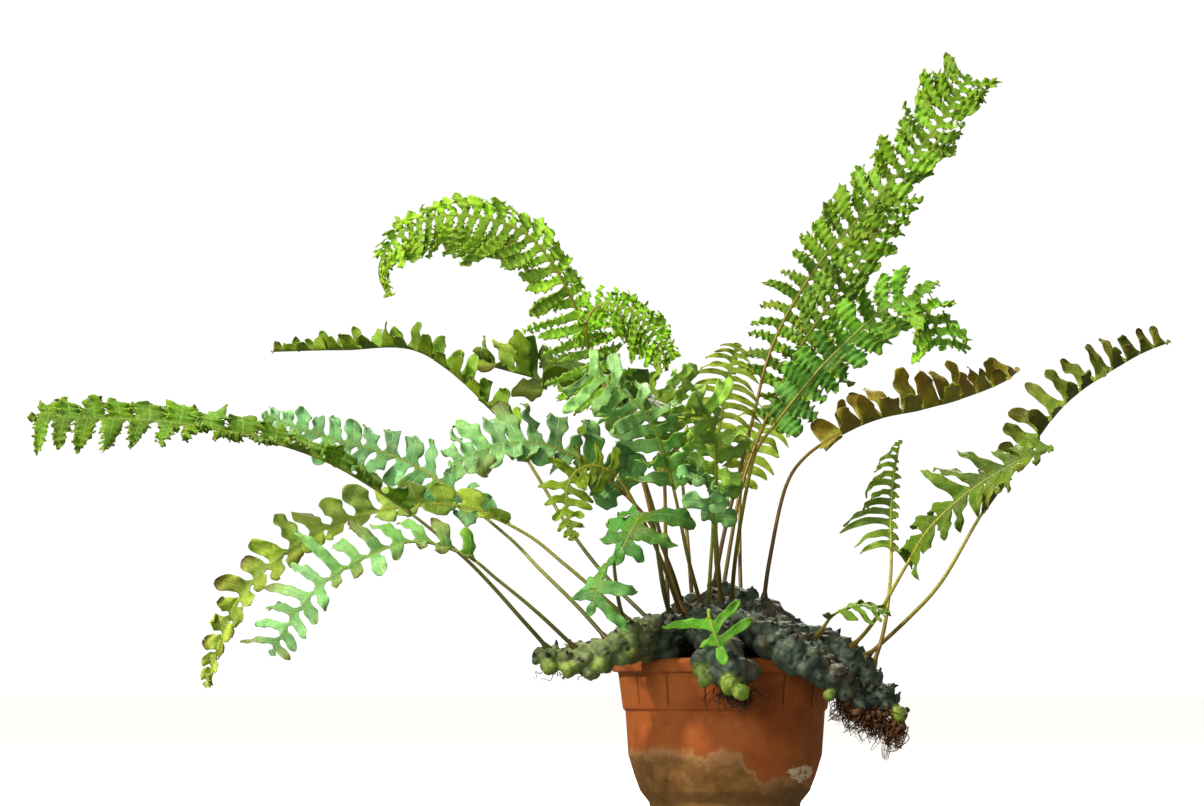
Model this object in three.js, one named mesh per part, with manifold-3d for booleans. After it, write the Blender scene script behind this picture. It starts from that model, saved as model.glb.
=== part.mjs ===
// Potted ant fern: a ceramic pot with a creeping rhizome heaped over it, and lobed fronds on thin stipes.
// Millimetres, +Z up. The origin is the middle of the pot's underside, +X is to the plant's right in
// front view, and -Y is towards the front.
import * as THREE from 'three';
import { mergeVertices } from 'three/addons/utils/BufferGeometryUtils.js';
import Module from 'manifold-3d';

const wasm = await Module();
wasm.setup();

// Driving dimensions of the pot
const RIM_R = 100;
const RIM_TOP = 136.5;
const LIP_HEIGHT = 12.5;
const COLLAR_HEIGHT = 31.5;
const COLLAR_TOP_R = 93;
const COLLAR_LOW_R = 89;
const BELLY_R = 87;
const FOOT_R = 63;
const FOOT_HEIGHT = 9;
const WALL = 6;
const POT_SIDES = 32;
const PANELS = 16;
const GROOVE_WIDTH = 2.4;
const GROOVE_DEPTH = 1.2;
const DRAIN_R = 5;
const DRAIN_CIRCLE_R = 34;
const DRAINS = 3;

// Driving dimensions of the plant
const GAP = 0.3;
const SOIL_EDGE = 126;
const SOIL_EDGE_FLARE = 3.6;
const SOIL_DOME = 26;
const SOIL_BUMP = 1.6;
const SOIL_GRAIN = 1.1;
const STIPE_SIDES = 5;
const STIPE_R = 1.5;
const STIPE_TOP_R = 1.15;
const STIPE_RING_STEP = 40;
const LEAST_STIPE_RINGS = 5;
const STIPE_SEAT = 5.5;
const BLADE_HALF = 0.42;
const MIDRIB_HALF = 1.1;
const NOTCH = 3.2;
const LOBE_FILL = 0.94;
const LEAST_LOBE = 6.5;
const END_LOBE_WIDTH = 0.3;
const LOBE_SPREAD = 0.12;
const CROWDING = 1.25;
const BEND_SPAN = 9;
const BEND_ROOM = 0.45;
const BRANCH_SIDES = 8;
const BRANCH_RING_STEP = 15;
const BRANCH_SWELL = 0.07;
const BRANCH_TIP = 0.06;
const NUB_SHARE = 0.34;
const NUB_RISE = 0.42;
const NUB_HOLLOW = 0.07;

// Seeded draw between 0 and 1
function draw(index, seed) {
  const value = Math.sin(index * 12.9898 + seed * 78.233) * 43758.5453;
  return value - Math.floor(value);
}

const smooth = (from, to, x) => THREE.MathUtils.smoothstep(x, from, to);

function vector(point) {
  return new THREE.Vector3(point[0], point[1], point[2]);
}

function indexed(positions, triangles) {
  const geometry = new THREE.BufferGeometry();
  geometry.setAttribute('position', new THREE.Float32BufferAttribute(positions, 3));
  geometry.setIndex(triangles);
  return geometry;
}

function toSolid(geometry) {
  const bare = geometry.clone();
  bare.deleteAttribute('normal');
  bare.deleteAttribute('uv');
  const merged = mergeVertices(bare, 1e-4);
  const mesh = new wasm.Mesh({
    numProp: 3,
    vertProperties: new Float32Array(merged.attributes.position.array),
    triVerts: new Uint32Array(merged.index.array),
  });
  return new wasm.Manifold(mesh);
}

function toGeometry(solid) {
  const mesh = solid.getMesh();
  return indexed(Array.from(mesh.vertProperties), Array.from(mesh.triVerts));
}

// The biggest body of a solid, without the scraps that a cut leaves
function biggestBody(solid) {
  const bodies = solid.decompose();
  bodies.sort((a, b) => b.volume() - a.volume());
  return bodies[0];
}

function named(name, geometry, color, roughness) {
  geometry.computeVertexNormals();
  const mesh = new THREE.Mesh(geometry, new THREE.MeshStandardMaterial({ color, roughness, metalness: 0 }));
  mesh.name = name;
  return mesh;
}

// A closed tube of changing radius along a curve, with a relief on its skin
function tube(curve, rings, sides, radiusAt, reliefAt = () => 1) {
  const positions = [];
  const triangles = [];
  let side = new THREE.Vector3(0.31, 0.87, 0.38);
  for (let i = 0; i <= rings; i += 1) {
    const u = i / rings;
    const centre = curve.getPointAt(u);
    const along = curve.getTangentAt(u);
    side = side.clone().addScaledVector(along, -side.dot(along)).normalize();
    const up = new THREE.Vector3().crossVectors(along, side);
    for (let k = 0; k < sides; k += 1) {
      const angle = (k / sides) * Math.PI * 2;
      const swell = reliefAt(i * sides + k);
      const point = centre.clone();
      point.addScaledVector(side, Math.cos(angle) * radiusAt(u) * swell);
      point.addScaledVector(up, Math.sin(angle) * radiusAt(u) * swell);
      positions.push(point.x, point.y, point.z);
    }
  }
  for (let i = 0; i < rings; i += 1) {
    for (let k = 0; k < sides; k += 1) {
      const a = i * sides + k;
      const b = i * sides + ((k + 1) % sides);
      triangles.push(a, b, b + sides, a, b + sides, a + sides);
    }
  }
  const last = rings * sides;
  for (let k = 1; k < sides - 1; k += 1) {
    triangles.push(0, k + 1, k, last, last + k, last + k + 1);
  }
  return indexed(positions, triangles);
}

// Pot: outer and inner wall as one lathe profile from the underside up, over the lip and down inside
function potProfile() {
  const lipLow = RIM_TOP - LIP_HEIGHT;
  const collarLow = lipLow - COLLAR_HEIGHT;
  const outer = [
    [0, 0],
    [FOOT_R, 0],
    [FOOT_R + 1, FOOT_HEIGHT],
    [FOOT_R + 9, FOOT_HEIGHT + 10],
    [BELLY_R - 8, FOOT_HEIGHT + 25],
    [BELLY_R - 3, FOOT_HEIGHT + 42],
    [BELLY_R, collarLow - 3],
    [COLLAR_LOW_R, collarLow],
    [COLLAR_TOP_R, lipLow],
    [RIM_R - 0.5, lipLow],
    [RIM_R, RIM_TOP - 3],
    [RIM_R - 2.5, RIM_TOP],
  ];
  const inner = [
    [RIM_R - 9, RIM_TOP],
    [RIM_R - 11, RIM_TOP - 4],
    [COLLAR_LOW_R - WALL, collarLow],
    [BELLY_R - 3 - WALL, FOOT_HEIGHT + 42],
    [FOOT_R + 9 - WALL, FOOT_HEIGHT + 14],
    [FOOT_R - WALL, FOOT_HEIGHT],
    [0, FOOT_HEIGHT],
  ];
  return { outer, inner };
}

function lathe(profile) {
  const points = profile.map(([r, z]) => new THREE.Vector2(r, z));
  const geometry = new THREE.LatheGeometry(points, POT_SIDES);
  geometry.rotateX(Math.PI / 2);
  return geometry;
}

function buildPot() {
  const { outer, inner } = potProfile();
  let pot = toSolid(lathe([...outer, ...inner]));
  const collarMiddle = RIM_TOP - LIP_HEIGHT - COLLAR_HEIGHT / 2;
  const lean = Math.atan2(COLLAR_TOP_R - COLLAR_LOW_R, COLLAR_HEIGHT);
  for (let i = 0; i < PANELS; i += 1) {
    const groove = new THREE.BoxGeometry(GROOVE_DEPTH * 2, GROOVE_WIDTH, COLLAR_HEIGHT - 3);
    groove.rotateY(lean);
    groove.translate((COLLAR_TOP_R + COLLAR_LOW_R) / 2, 0, collarMiddle);
    groove.rotateZ(((i + 0.5) / PANELS) * Math.PI * 2);
    pot = pot.subtract(toSolid(groove));
  }
  for (let i = 0; i < DRAINS; i += 1) {
    const drain = new THREE.CylinderGeometry(DRAIN_R, DRAIN_R, FOOT_HEIGHT * 3, 8);
    drain.rotateX(Math.PI / 2);
    drain.translate(DRAIN_CIRCLE_R, 0, 0);
    drain.rotateZ((i / DRAINS) * Math.PI * 2);
    pot = pot.subtract(toSolid(drain));
  }
  return pot;
}

// Soil: fills the pot with a gap to its wall, and rises to an uneven dome in the middle
function soilProfile(gap, lift) {
  const { inner } = potProfile();
  const wall = inner.slice(2).reverse().map(([r, z]) => [Math.max(r - gap, 0), z + gap]);
  const edge = COLLAR_LOW_R - WALL + SOIL_EDGE_FLARE - gap;
  const top = [0, 0.35, 0.7].map((share) => {
    const rise = SOIL_DOME * Math.cos(share * Math.PI * 0.5);
    return [edge * share, SOIL_EDGE + rise + lift];
  });
  return [...wall, [edge, SOIL_EDGE + lift], ...top.reverse()];
}

function buildSoil(gap, lift) {
  const geometry = lathe(soilProfile(gap, lift));
  const position = geometry.attributes.position;
  for (let i = 0; i < position.count; i += 1) {
    const x = position.getX(i);
    const y = position.getY(i);
    if (position.getZ(i) > SOIL_EDGE - 1) {
      const bump = SOIL_BUMP * Math.sin(x * 0.13) * Math.cos(y * 0.17);
      const grain = SOIL_GRAIN * Math.sin(x * 0.31 + y * 0.23);
      position.setZ(i, position.getZ(i) + bump + grain);
    }
  }
  return toSolid(geometry);
}

// Rhizome branches: points of the centre line, and the radius there
const BRANCHES = {
  left: [[-40, -45, 158, 17], [-62, -88, 158, 16], [-82, -108, 146, 16], [-112, -114, 136, 16],
    [-140, -114, 134, 15], [-164, -112, 138, 10]],
  front: [[-22, -35, 168, 20], [-12, -82, 160, 19], [-8, -114, 146, 19], [2, -123, 126, 17],
    [8, -124, 111, 11]],
  middle: [[-45, -10, 155, 20], [-22, -5, 178, 19], [12, 5, 181, 19], [38, -5, 165, 20], [60, -20, 150, 18]],
  back: [[-52, 36, 148, 17], [-15, 50, 158, 18], [25, 45, 156, 18], [55, 28, 148, 16]],
  cross: [[-36, -48, 156, 18], [0, -22, 172, 18], [16, 22, 166, 18], [24, 52, 156, 17]],
  right_upper: [[4, -4, 170, 16], [58, -40, 156, 16], [92, -60, 146, 15], [114, -70, 130, 14],
    [130, -75, 113, 13], [142, -77, 98, 11], [151, -77, 86, 8]],
  right_lower: [[0, -24, 164, 18], [34, -84, 154, 17], [60, -107, 138, 15], [86, -102, 124, 15],
    [106, -93, 106, 13], [118, -86, 90, 10]],
};

function branchCurve(name) {
  return new THREE.CatmullRomCurve3(BRANCHES[name].map(vector), false, 'catmullrom', 0.5);
}

function branchRadius(name, t) {
  const radii = BRANCHES[name].map((point) => point[3]);
  const place = Math.min(t, 0.9999) * (radii.length - 1);
  const i = Math.floor(place);
  return THREE.MathUtils.lerp(radii[i], radii[i + 1], place - i);
}

// A branch with blunt nubs where old fronds stood, raised from its skin at corners drawn by lot
function branchTube(name, seed) {
  const curve = branchCurve(name);
  const rings = Math.round(curve.getLength() / BRANCH_RING_STEP);
  const toEnd = (u) => Math.max(0, 1 - Math.min(u, 1 - u) * rings);
  const roundEnd = (u) => Math.sqrt(Math.max(1 - toEnd(u) ** 2, BRANCH_TIP));
  const swell = (u) => 1 + BRANCH_SWELL * Math.sin(u * rings * 1.9);
  const radiusAt = (u) => branchRadius(name, u) * roundEnd(u) * swell(u);
  const reliefAt = (corner) => {
    const pick = draw(corner, seed);
    return pick < NUB_SHARE ? 1 + NUB_RISE * (0.6 + pick) : 1 - NUB_HOLLOW * pick;
  };
  return tube(curve, rings, BRANCH_SIDES, radiusAt, reliefAt);
}

// Fronds. root: branch and place along it. way: points of the midrib. blade: from what share of the
// length, pairs of lobes, length of the longest lobe, kind of lobe edge, way it faces at its foot and tip,
// fold of the lobes upwards there and their bend from rib to tip in radians, forward sweep of the lobes,
// size of the lobes on its left and right, size of the first and last lobes against the longest, and
// length of the end lobe against the spacing of the lobes.
const FRONDS = {
  far_left: {
    root: ['left', 0.9],
    way: [[-172, -120, 165], [-230, -138, 225], [-305, -150, 283], [-376, -150, 318], [-482, -144, 341],
      [-609, -130, 346]],
    blade: { from: 0.33, pairs: 13, lobe: 38, kind: 'toothed', faces: [[0, -0.3, 1], [0, -0.95, 0.3]],
      fold: [1, 0], bend: -0.5, sweep: 0.1, sides: [1, 0.75], tip: 0.9 },
    color: '#6fae3c',
  },
  left_blue: {
    root: ['left', 0.57],
    way: [[-128, -102, 183], [-163, -84, 214], [-196, -62, 247], [-274, -35, 306], [-358, -25, 333],
      [-409, -20, 352]],
    blade: { from: 0.42, pairs: 9, lobe: 25, kind: 'round', faces: [[0, -1, 0.2], [0, -0.9, 0.4]],
      fold: [0.15, 0.15], bend: -0.3, sweep: 0.2 },
    color: '#86bb98',
  },
  low_left_inner: {
    root: ['left', 0.74],
    way: [[-163, -128, 178], [-199, -150, 204], [-230, -170, 227], [-279, -192, 236], [-343, -210, 205],
      [-378, -214, 166], [-394, -212, 138]],
    blade: { from: 0.36, pairs: 10, lobe: 36, kind: 'narrow', faces: [[0, -0.45, 0.9], [-0.6, -0.8, 0.2]],
      fold: [0.6, 0.1], bend: -0.4, sweep: 0.25, tip: 0.6 },
    color: '#7db58c',
  },
  low_left_outer: {
    root: ['left', 0.36],
    way: [[-110, -94, 192], [-141, -90, 218], [-177, -86, 246], [-231, -85, 269], [-293, -90, 267],
      [-361, -98, 244], [-424, -100, 190], [-455, -95, 110]],
    blade: { from: 0.3, pairs: 13, lobe: 26, kind: 'round', faces: [[0, -0.7, 0.7], [-0.6, -0.8, 0]],
      fold: [0.35, 0.35], bend: -0.3, sweep: 0.2 },
    color: '#86b545',
  },
  upper_left: {
    root: ['left', 0.2],
    way: [[-110, -50, 203], [-138, -30, 251], [-170, -10, 304], [-203, 10, 354], [-270, 45, 409],
      [-340, 72, 412], [-405, 92, 411]],
    blade: { from: 0.5, pairs: 12, lobe: 24, kind: 'round', faces: [[0, -0.3, 0.9], [0, -0.25, 0.9]],
      fold: [0.75, 0.75], bend: -0.2, sweep: 0.15 },
    color: '#5b7a24',
  },
  mid_left: {
    root: ['middle', 0.12],
    way: [[-42, -42, 214], [-66, -58, 254], [-88, -72, 279], [-119, -86, 305], [-159, -96, 323],
      [-199, -102, 322], [-243, -108, 304]],
    blade: { from: 0.42, pairs: 9, lobe: 27, kind: 'round', faces: [[0, -0.9, 0.4], [0, -0.9, 0.5]],
      fold: [0.2, 0.2], bend: -0.4, sweep: 0.2 },
    color: '#7fb88f',
  },
  back_left_olive: {
    root: ['back', 0.03],
    way: [[-52, 38, 241], [-54, 46, 303], [-66, 62, 347], [-106, 78, 366], [-153, 95, 383],
      [-225, 112, 403]],
    blade: { from: 0.5, pairs: 9, lobe: 24, kind: 'narrow', faces: [[0, -0.4, 0.9], [0, -0.4, 0.9]],
      fold: [0.5, 0.5], bend: -0.5, sweep: 0.3 },
    color: '#5d6e22',
  },
  curled_top: {
    root: ['middle', 0.02],
    way: [[-55, 6, 196], [-68, 16, 276], [-88, 20, 338], [-110, 12, 391], [-126, 2, 431], [-144, -8, 471],
      [-172, -14, 508], [-208, -15, 524], [-250, -12, 527], [-284, -8, 514], [-303, -4, 492],
      [-306, 0, 474], [-298, 3, 456]],
    blade: { from: 0.37, pairs: 15, lobe: 36, kind: 'toothed', faces: [[0.1, -0.9, 0.1], [0, -1, 0.1]],
      fold: [0.05, 0.05], bend: -0.4, sweep: 0.05, sides: [1, 0.5], foot: 1.3, tip: 0.35 },
    color: '#79a832',
  },
  backlit: {
    root: ['cross', 0.1],
    way: [[-50, -42, 196], [-66, -44, 276], [-88, -50, 338], [-114, -56, 391], [-123, -62, 424],
      [-112, -66, 446], [-86, -70, 442], [-64, -74, 424], [-45, -76, 398]],
    blade: { from: 0.66, pairs: 9, lobe: 34, kind: 'narrow', faces: [[0.2, -0.9, 0.2], [0, -0.9, 0.5]],
      fold: [0.1, 0.1], bend: -0.4, sweep: 0.1, sides: [0.5, 1.1] },
    color: '#84bb2c',
  },
  upright_centre: {
    root: ['cross', 0.38],
    way: [[-14, -34, 223], [-8, -45, 276], [-8, -55, 320], [-4, -60, 347], [2, -62, 382], [11, -60, 413]],
    blade: { from: 0.55, pairs: 7, lobe: 48, kind: 'narrow', faces: [[0, -0.8, 0.6], [0, -0.9, 0.4]],
      fold: [0.2, 0.2], bend: -0.8, sweep: 0, sides: [1, 0.8] },
    color: '#6c8f2e',
  },
  tallest: {
    root: ['middle', 0.33],
    way: [[-4, 6, 241], [9, 10, 285], [18, 15, 320], [28, 20, 360], [38, 28, 400], [55, 38, 440],
      [89, 50, 493], [140, 60, 550], [188, 72, 608], [221, 84, 658]],
    blade: { from: 0.36, pairs: 14, lobe: 38, kind: 'toothed', faces: [[0.2, -0.9, 0.1], [0, -0.9, 0.4]],
      fold: [0.1, 0.1], bend: -0.4, sweep: 0.1, tip: 0.85 },
    color: '#86b53a',
  },
  tall_back: {
    root: ['back', 0.42],
    way: [[6, 58, 250], [16, 70, 289], [28, 80, 325], [46, 96, 367], [68, 112, 413], [90, 125, 446],
      [122, 140, 494], [166, 156, 556]],
    blade: { from: 0.42, pairs: 9, lobe: 33, kind: 'toothed', faces: [[0.3, -0.9, 0.1], [0, -0.9, 0.4]],
      fold: [0.1, 0.1], bend: -0.4, sweep: 0.1, tip: 0.8 },
    color: '#6f9a34',
  },
  bright_curl: {
    root: ['cross', 0.45],
    way: [[6, -52, 220], [14, -74, 262], [22, -91, 303], [29, -98, 322], [49, -107, 349], [80, -116, 387],
      [106, -122, 413], [133, -126, 437], [160, -127, 449], [179, -126, 431], [189, -124, 404]],
    blade: { from: 0.46, pairs: 11, lobe: 32, kind: 'toothed', faces: [[0.2, -0.9, 0.3], [0.2, -0.9, 0.2]],
      fold: [0.1, 0.1], bend: -0.3, sweep: 0.1, tip: 0.9 },
    color: '#7fbf35',
  },
  olive_right: {
    root: ['middle', 0.72],
    way: [[36, -12, 223], [53, -2, 285], [71, 9, 314], [102, 25, 335], [137, 45, 350], [173, 65, 358],
      [208, 85, 368], [244, 105, 382], [266, 118, 397]],
    blade: { from: 0.42, pairs: 12, lobe: 33, kind: 'round', faces: [[0, -0.35, 0.9], [0, -0.3, 0.9]],
      fold: [0.8, 0.8], bend: -0.2, sweep: 0.2 },
    color: '#6d6a28',
  },
  far_right: {
    root: ['right_upper', 0.7],
    way: [[164, -60, 168], [191, -45, 205], [226, -25, 263], [261, -5, 310], [302, 18, 363], [360, 42, 402],
      [398, 55, 419]],
    blade: { from: 0.42, pairs: 12, lobe: 32, kind: 'round', faces: [[-0.5, -0.5, 0.6], [-0.3, -0.35, 0.9]],
      fold: [0.45, 0.8], bend: -0.2, sweep: 0.2, tip: 0.5 },
    color: '#6b7f2a',
  },
  right_low: {
    root: ['right_upper', 0.62],
    way: [[133, -95, 161], [155, -115, 214], [177, -130, 250], [213, -142, 283], [252, -152, 307],
      [283, -157, 319]],
    blade: { from: 0.4, pairs: 8, lobe: 27, kind: 'narrow', faces: [[-0.3, -0.8, 0.5], [0, -0.8, 0.6]],
      fold: [0.25, 0.25], bend: -0.5, sweep: 0.2 },
    color: '#7a9a32',
  },
  right_upright: {
    root: ['right_upper', 0.78],
    way: [[146, -72, 161], [145, -64, 214], [145, -58, 258], [148, -54, 298], [154, -52, 328]],
    blade: { from: 0.52, pairs: 8, lobe: 46, kind: 'narrow', faces: [[-0.2, -0.8, 0.3], [-0.2, -0.9, 0.3]],
      fold: [0.2, 0.2], bend: -0.7, sweep: -0.1, sides: [1, 0.55] },
    color: '#74982f',
  },
  small_right: {
    root: ['right_upper', 0.46],
    way: [[88, -92, 168], [92, -104, 173], [104, -112, 180], [122, -116, 182], [142, -118, 176]],
    blade: { from: 0.42, pairs: 3, lobe: 18, kind: 'round', faces: [[0, -0.7, 0.7], [0, -0.7, 0.7]],
      fold: [0.1, 0.1], bend: -0.5, sweep: 0.4 },
    color: '#6f9636',
  },
  young_front: {
    root: ['front', 0.5],
    way: [[-12, -126, 174], [-16, -140, 178], [-15, -150, 170], [-9, -155, 152], [-2, -158, 130]],
    blade: { from: 0.54, pairs: 2, lobe: 37, kind: 'narrow', faces: [[0, -1, 0.2], [0, -1, 0.1]],
      fold: [0.1, 0.1], bend: -0.3, sweep: -0.35, foot: 0.9, tip: 0.85, end: 1.6 },
    color: '#86c93c',
  },
  broad_front: {
    root: ['left', 0.05],
    way: [[-58, -76, 195], [-60, -100, 228], [-64, -124, 254], [-71, -144, 262], [-81, -158, 250],
      [-98, -166, 216]],
    blade: { from: 0.68, pairs: 3, lobe: 44, kind: 'round', faces: [[0, 0.3, 0.9], [0, -1, 0.2]],
      fold: [0.1, 0.1], bend: -0.5, sweep: 0.1, foot: 0.8, tip: 0.7, end: 1.5 },
    color: '#3f7f4a',
  },
  broad_left: {
    root: ['left', 0.47],
    way: [[-97, -130, 180], [-97, -146, 206], [-99, -160, 222], [-103, -172, 220], [-110, -180, 203],
      [-120, -185, 172]],
    blade: { from: 0.67, pairs: 3, lobe: 46, kind: 'round', faces: [[0, 0.4, 0.9], [0, -1, 0.3]],
      fold: [0.1, 0.1], bend: -0.4, sweep: 0, foot: 0.8, tip: 0.7, end: 1.4 },
    color: '#6fae74',
  },
  hanging_tip: {
    root: ['cross', 0.02],
    way: [[-52, -78, 223], [-78, -104, 267], [-94, -117, 292], [-114, -127, 304], [-133, -133, 297],
      [-140, -137, 274], [-134, -138, 238]],
    blade: { from: 0.6, pairs: 6, lobe: 22, kind: 'narrow', faces: [[0.3, -0.9, 0.3], [-0.3, -0.9, 0.1]],
      fold: [0.1, 0.1], bend: -0.3, sweep: 0.1 },
    color: '#7aa63a',
  },
  centre_left: {
    root: ['cross', 0.2],
    way: [[-36, -66, 223], [-44, -84, 276], [-56, -98, 320], [-72, -108, 351], [-97, -114, 373],
      [-126, -118, 386]],
    blade: { from: 0.46, pairs: 9, lobe: 35, kind: 'round', faces: [[0, -0.9, 0.4], [0, -0.8, 0.6]],
      fold: [0.2, 0.2], bend: -0.5, sweep: 0.2 },
    color: '#6da570',
  },
  centre_front: {
    root: ['cross', 0.35],
    way: [[-14, -78, 258], [-9, -104, 303], [-13, -124, 338], [-28, -136, 366], [-48, -144, 386]],
    blade: { from: 0.46, pairs: 8, lobe: 36, kind: 'round', faces: [[0, -0.9, 0.4], [0, -0.8, 0.6]],
      fold: [0.2, 0.2], bend: -0.5, sweep: 0.2 },
    color: '#5f9a4a',
  },
  centre_back_left: {
    root: ['back', 0.25],
    way: [[-31, 66, 241], [-38, 90, 303], [-48, 116, 347], [-62, 140, 378], [-72, 160, 396]],
    blade: { from: 0.5, pairs: 8, lobe: 30, kind: 'round', faces: [[0, -0.7, 0.7], [0, -0.5, 0.9]],
      fold: [0.2, 0.2], bend: -0.5, sweep: 0.2 },
    color: '#57823a',
  },
  centre_back_right: {
    root: ['back', 0.62],
    way: [[12, 68, 232], [16, 94, 290], [28, 122, 330], [48, 148, 356], [72, 168, 366]],
    blade: { from: 0.5, pairs: 8, lobe: 30, kind: 'round', faces: [[0, -0.7, 0.7], [0, -0.5, 0.9]],
      fold: [0.2, 0.2], bend: -0.5, sweep: 0.2 },
    color: '#5d7d2c',
  },
  centre_low: {
    root: ['front', 0.22],
    way: [[-14, -96, 215], [-12, -124, 252], [-15, -150, 280], [-23, -178, 293], [-37, -202, 292]],
    blade: { from: 0.5, pairs: 6, lobe: 30, kind: 'round', faces: [[0, -0.8, 0.7], [0, -0.8, 0.6]],
      fold: [0.15, 0.15], bend: -0.5, sweep: 0.2 },
    color: '#72ae86',
  },
};

// Lobe outlines: share of the lobe's length, and place across its width from -0.5 to 0.5
const LOBES = {
  round: [[0.5, -0.47], [0.92, -0.3], [0.96, 0.2], [0.55, 0.47]],
  narrow: [[0.55, -0.42], [1, -0.04], [0.55, 0.38]],
  toothed: [[0.52, -0.46], [0.72, -0.24], [1, -0.14], [0.7, 0.2], [0.62, 0.46]],
};

function frondCurve(frond) {
  const [branch, t] = frond.root;
  const centre = branchCurve(branch).getPointAt(t);
  const first = vector(frond.way[0]);
  const out = first.clone().sub(centre).normalize();
  const foot = centre.addScaledVector(out, branchRadius(branch, t) - STIPE_SEAT);
  return new THREE.CatmullRomCurve3([foot, ...frond.way.map(vector)], false, 'catmullrom', 0.5);
}

function stipeTube(frond, grow) {
  const curve = frondCurve(frond);
  const length = curve.getLength();
  const share = frond.blade.from - GAP / length;
  const start = -grow / length;
  const part = new THREE.Curve();
  part.getPoint = (u) => {
    const s = start + (share - start) * u;
    const point = curve.getPointAt(Math.max(s, 0));
    return s < 0 ? point.addScaledVector(curve.getTangentAt(0), s * length) : point;
  };
  const rings = Math.max(LEAST_STIPE_RINGS, Math.round((length * share) / STIPE_RING_STEP));
  const radiusAt = (u) => THREE.MathUtils.lerp(STIPE_R, STIPE_TOP_R, u) + grow;
  return tube(part, rings, STIPE_SIDES, radiusAt);
}

// Frame of the blade at a distance along the midrib: place, way along, facing, and its left
function bladeFrame(curve, length, frond, distance) {
  const u = THREE.MathUtils.clamp(distance / length, 0, 1);
  const along = curve.getTangentAt(u);
  const place = curve.getPointAt(u).addScaledVector(along, distance - u * length);
  const share = THREE.MathUtils.clamp((u - frond.blade.from) / (1 - frond.blade.from), 0, 1);
  const facing = vector(frond.blade.faces[0]).lerp(vector(frond.blade.faces[1]), share);
  facing.addScaledVector(along, -facing.dot(along)).normalize();
  const left = new THREE.Vector3().crossVectors(facing, along);
  return { place, along, facing, left, share };
}

// A point of the blade's surface, and the way that it faces, at a signed distance to the left of the midrib
function bladePoint(curve, length, frond, distance, lateral) {
  const { place, facing, left, share } = bladeFrame(curve, length, frond, distance);
  const reach = Math.abs(lateral);
  const hand = Math.sign(lateral);
  const { fold, bend, lobe } = frond.blade;
  const lift = THREE.MathUtils.lerp(fold[0], fold[1], share);
  const mean = lift + (bend * reach) / lobe / 2;
  const slope = lift + (bend * reach) / lobe;
  const point = place.clone();
  point.addScaledVector(left, hand * reach * Math.cos(mean));
  point.addScaledVector(facing, reach * Math.sin(mean));
  const normal = facing.clone().multiplyScalar(Math.cos(slope));
  normal.addScaledVector(left, -hand * Math.sin(slope)).normalize();
  return { point, normal };
}

// Length of a lobe against the longest, at a share of the blade from its foot
function lobeShare(share, foot, tip) {
  const start = THREE.MathUtils.lerp(foot, 1, Math.sin(Math.min(share / 0.35, 1) * Math.PI * 0.5));
  return start * (1 - (1 - tip) * smooth(0.5, 1, share));
}

// Thin solid from surface points and faces: the faces stand off both ways, and a wall joins their edge
function slab(points, faces) {
  const positions = [];
  for (const way of [1, -1]) {
    for (const { point, normal, half } of points) {
      const skin = point.clone().addScaledVector(normal, half * way);
      positions.push(skin.x, skin.y, skin.z);
    }
  }
  const under = points.length;
  const triangles = [];
  const edges = new Set();
  for (const [a, b, c] of faces) {
    triangles.push(a, b, c, under + a, under + c, under + b);
    edges.add(`${a},${b}`).add(`${b},${c}`).add(`${c},${a}`);
  }
  for (const edge of edges) {
    const [a, b] = edge.split(',').map(Number);
    if (!edges.has(`${b},${a}`)) {
      triangles.push(under + a, under + b, b, under + a, b, a);
    }
  }
  return indexed(positions, triangles);
}

// Room for a lobe on the inside of a bend of the midrib: a share of the bend's radius
function lobeRoom(curve, length, frond, distance, hand) {
  const before = bladeFrame(curve, length, frond, distance - BEND_SPAN);
  const after = bladeFrame(curve, length, frond, distance + BEND_SPAN);
  const turn = after.along.clone().sub(before.along).dot(before.left) * hand;
  return turn > 0.02 ? (BEND_ROOM * 2 * BEND_SPAN) / turn : Infinity;
}

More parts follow.
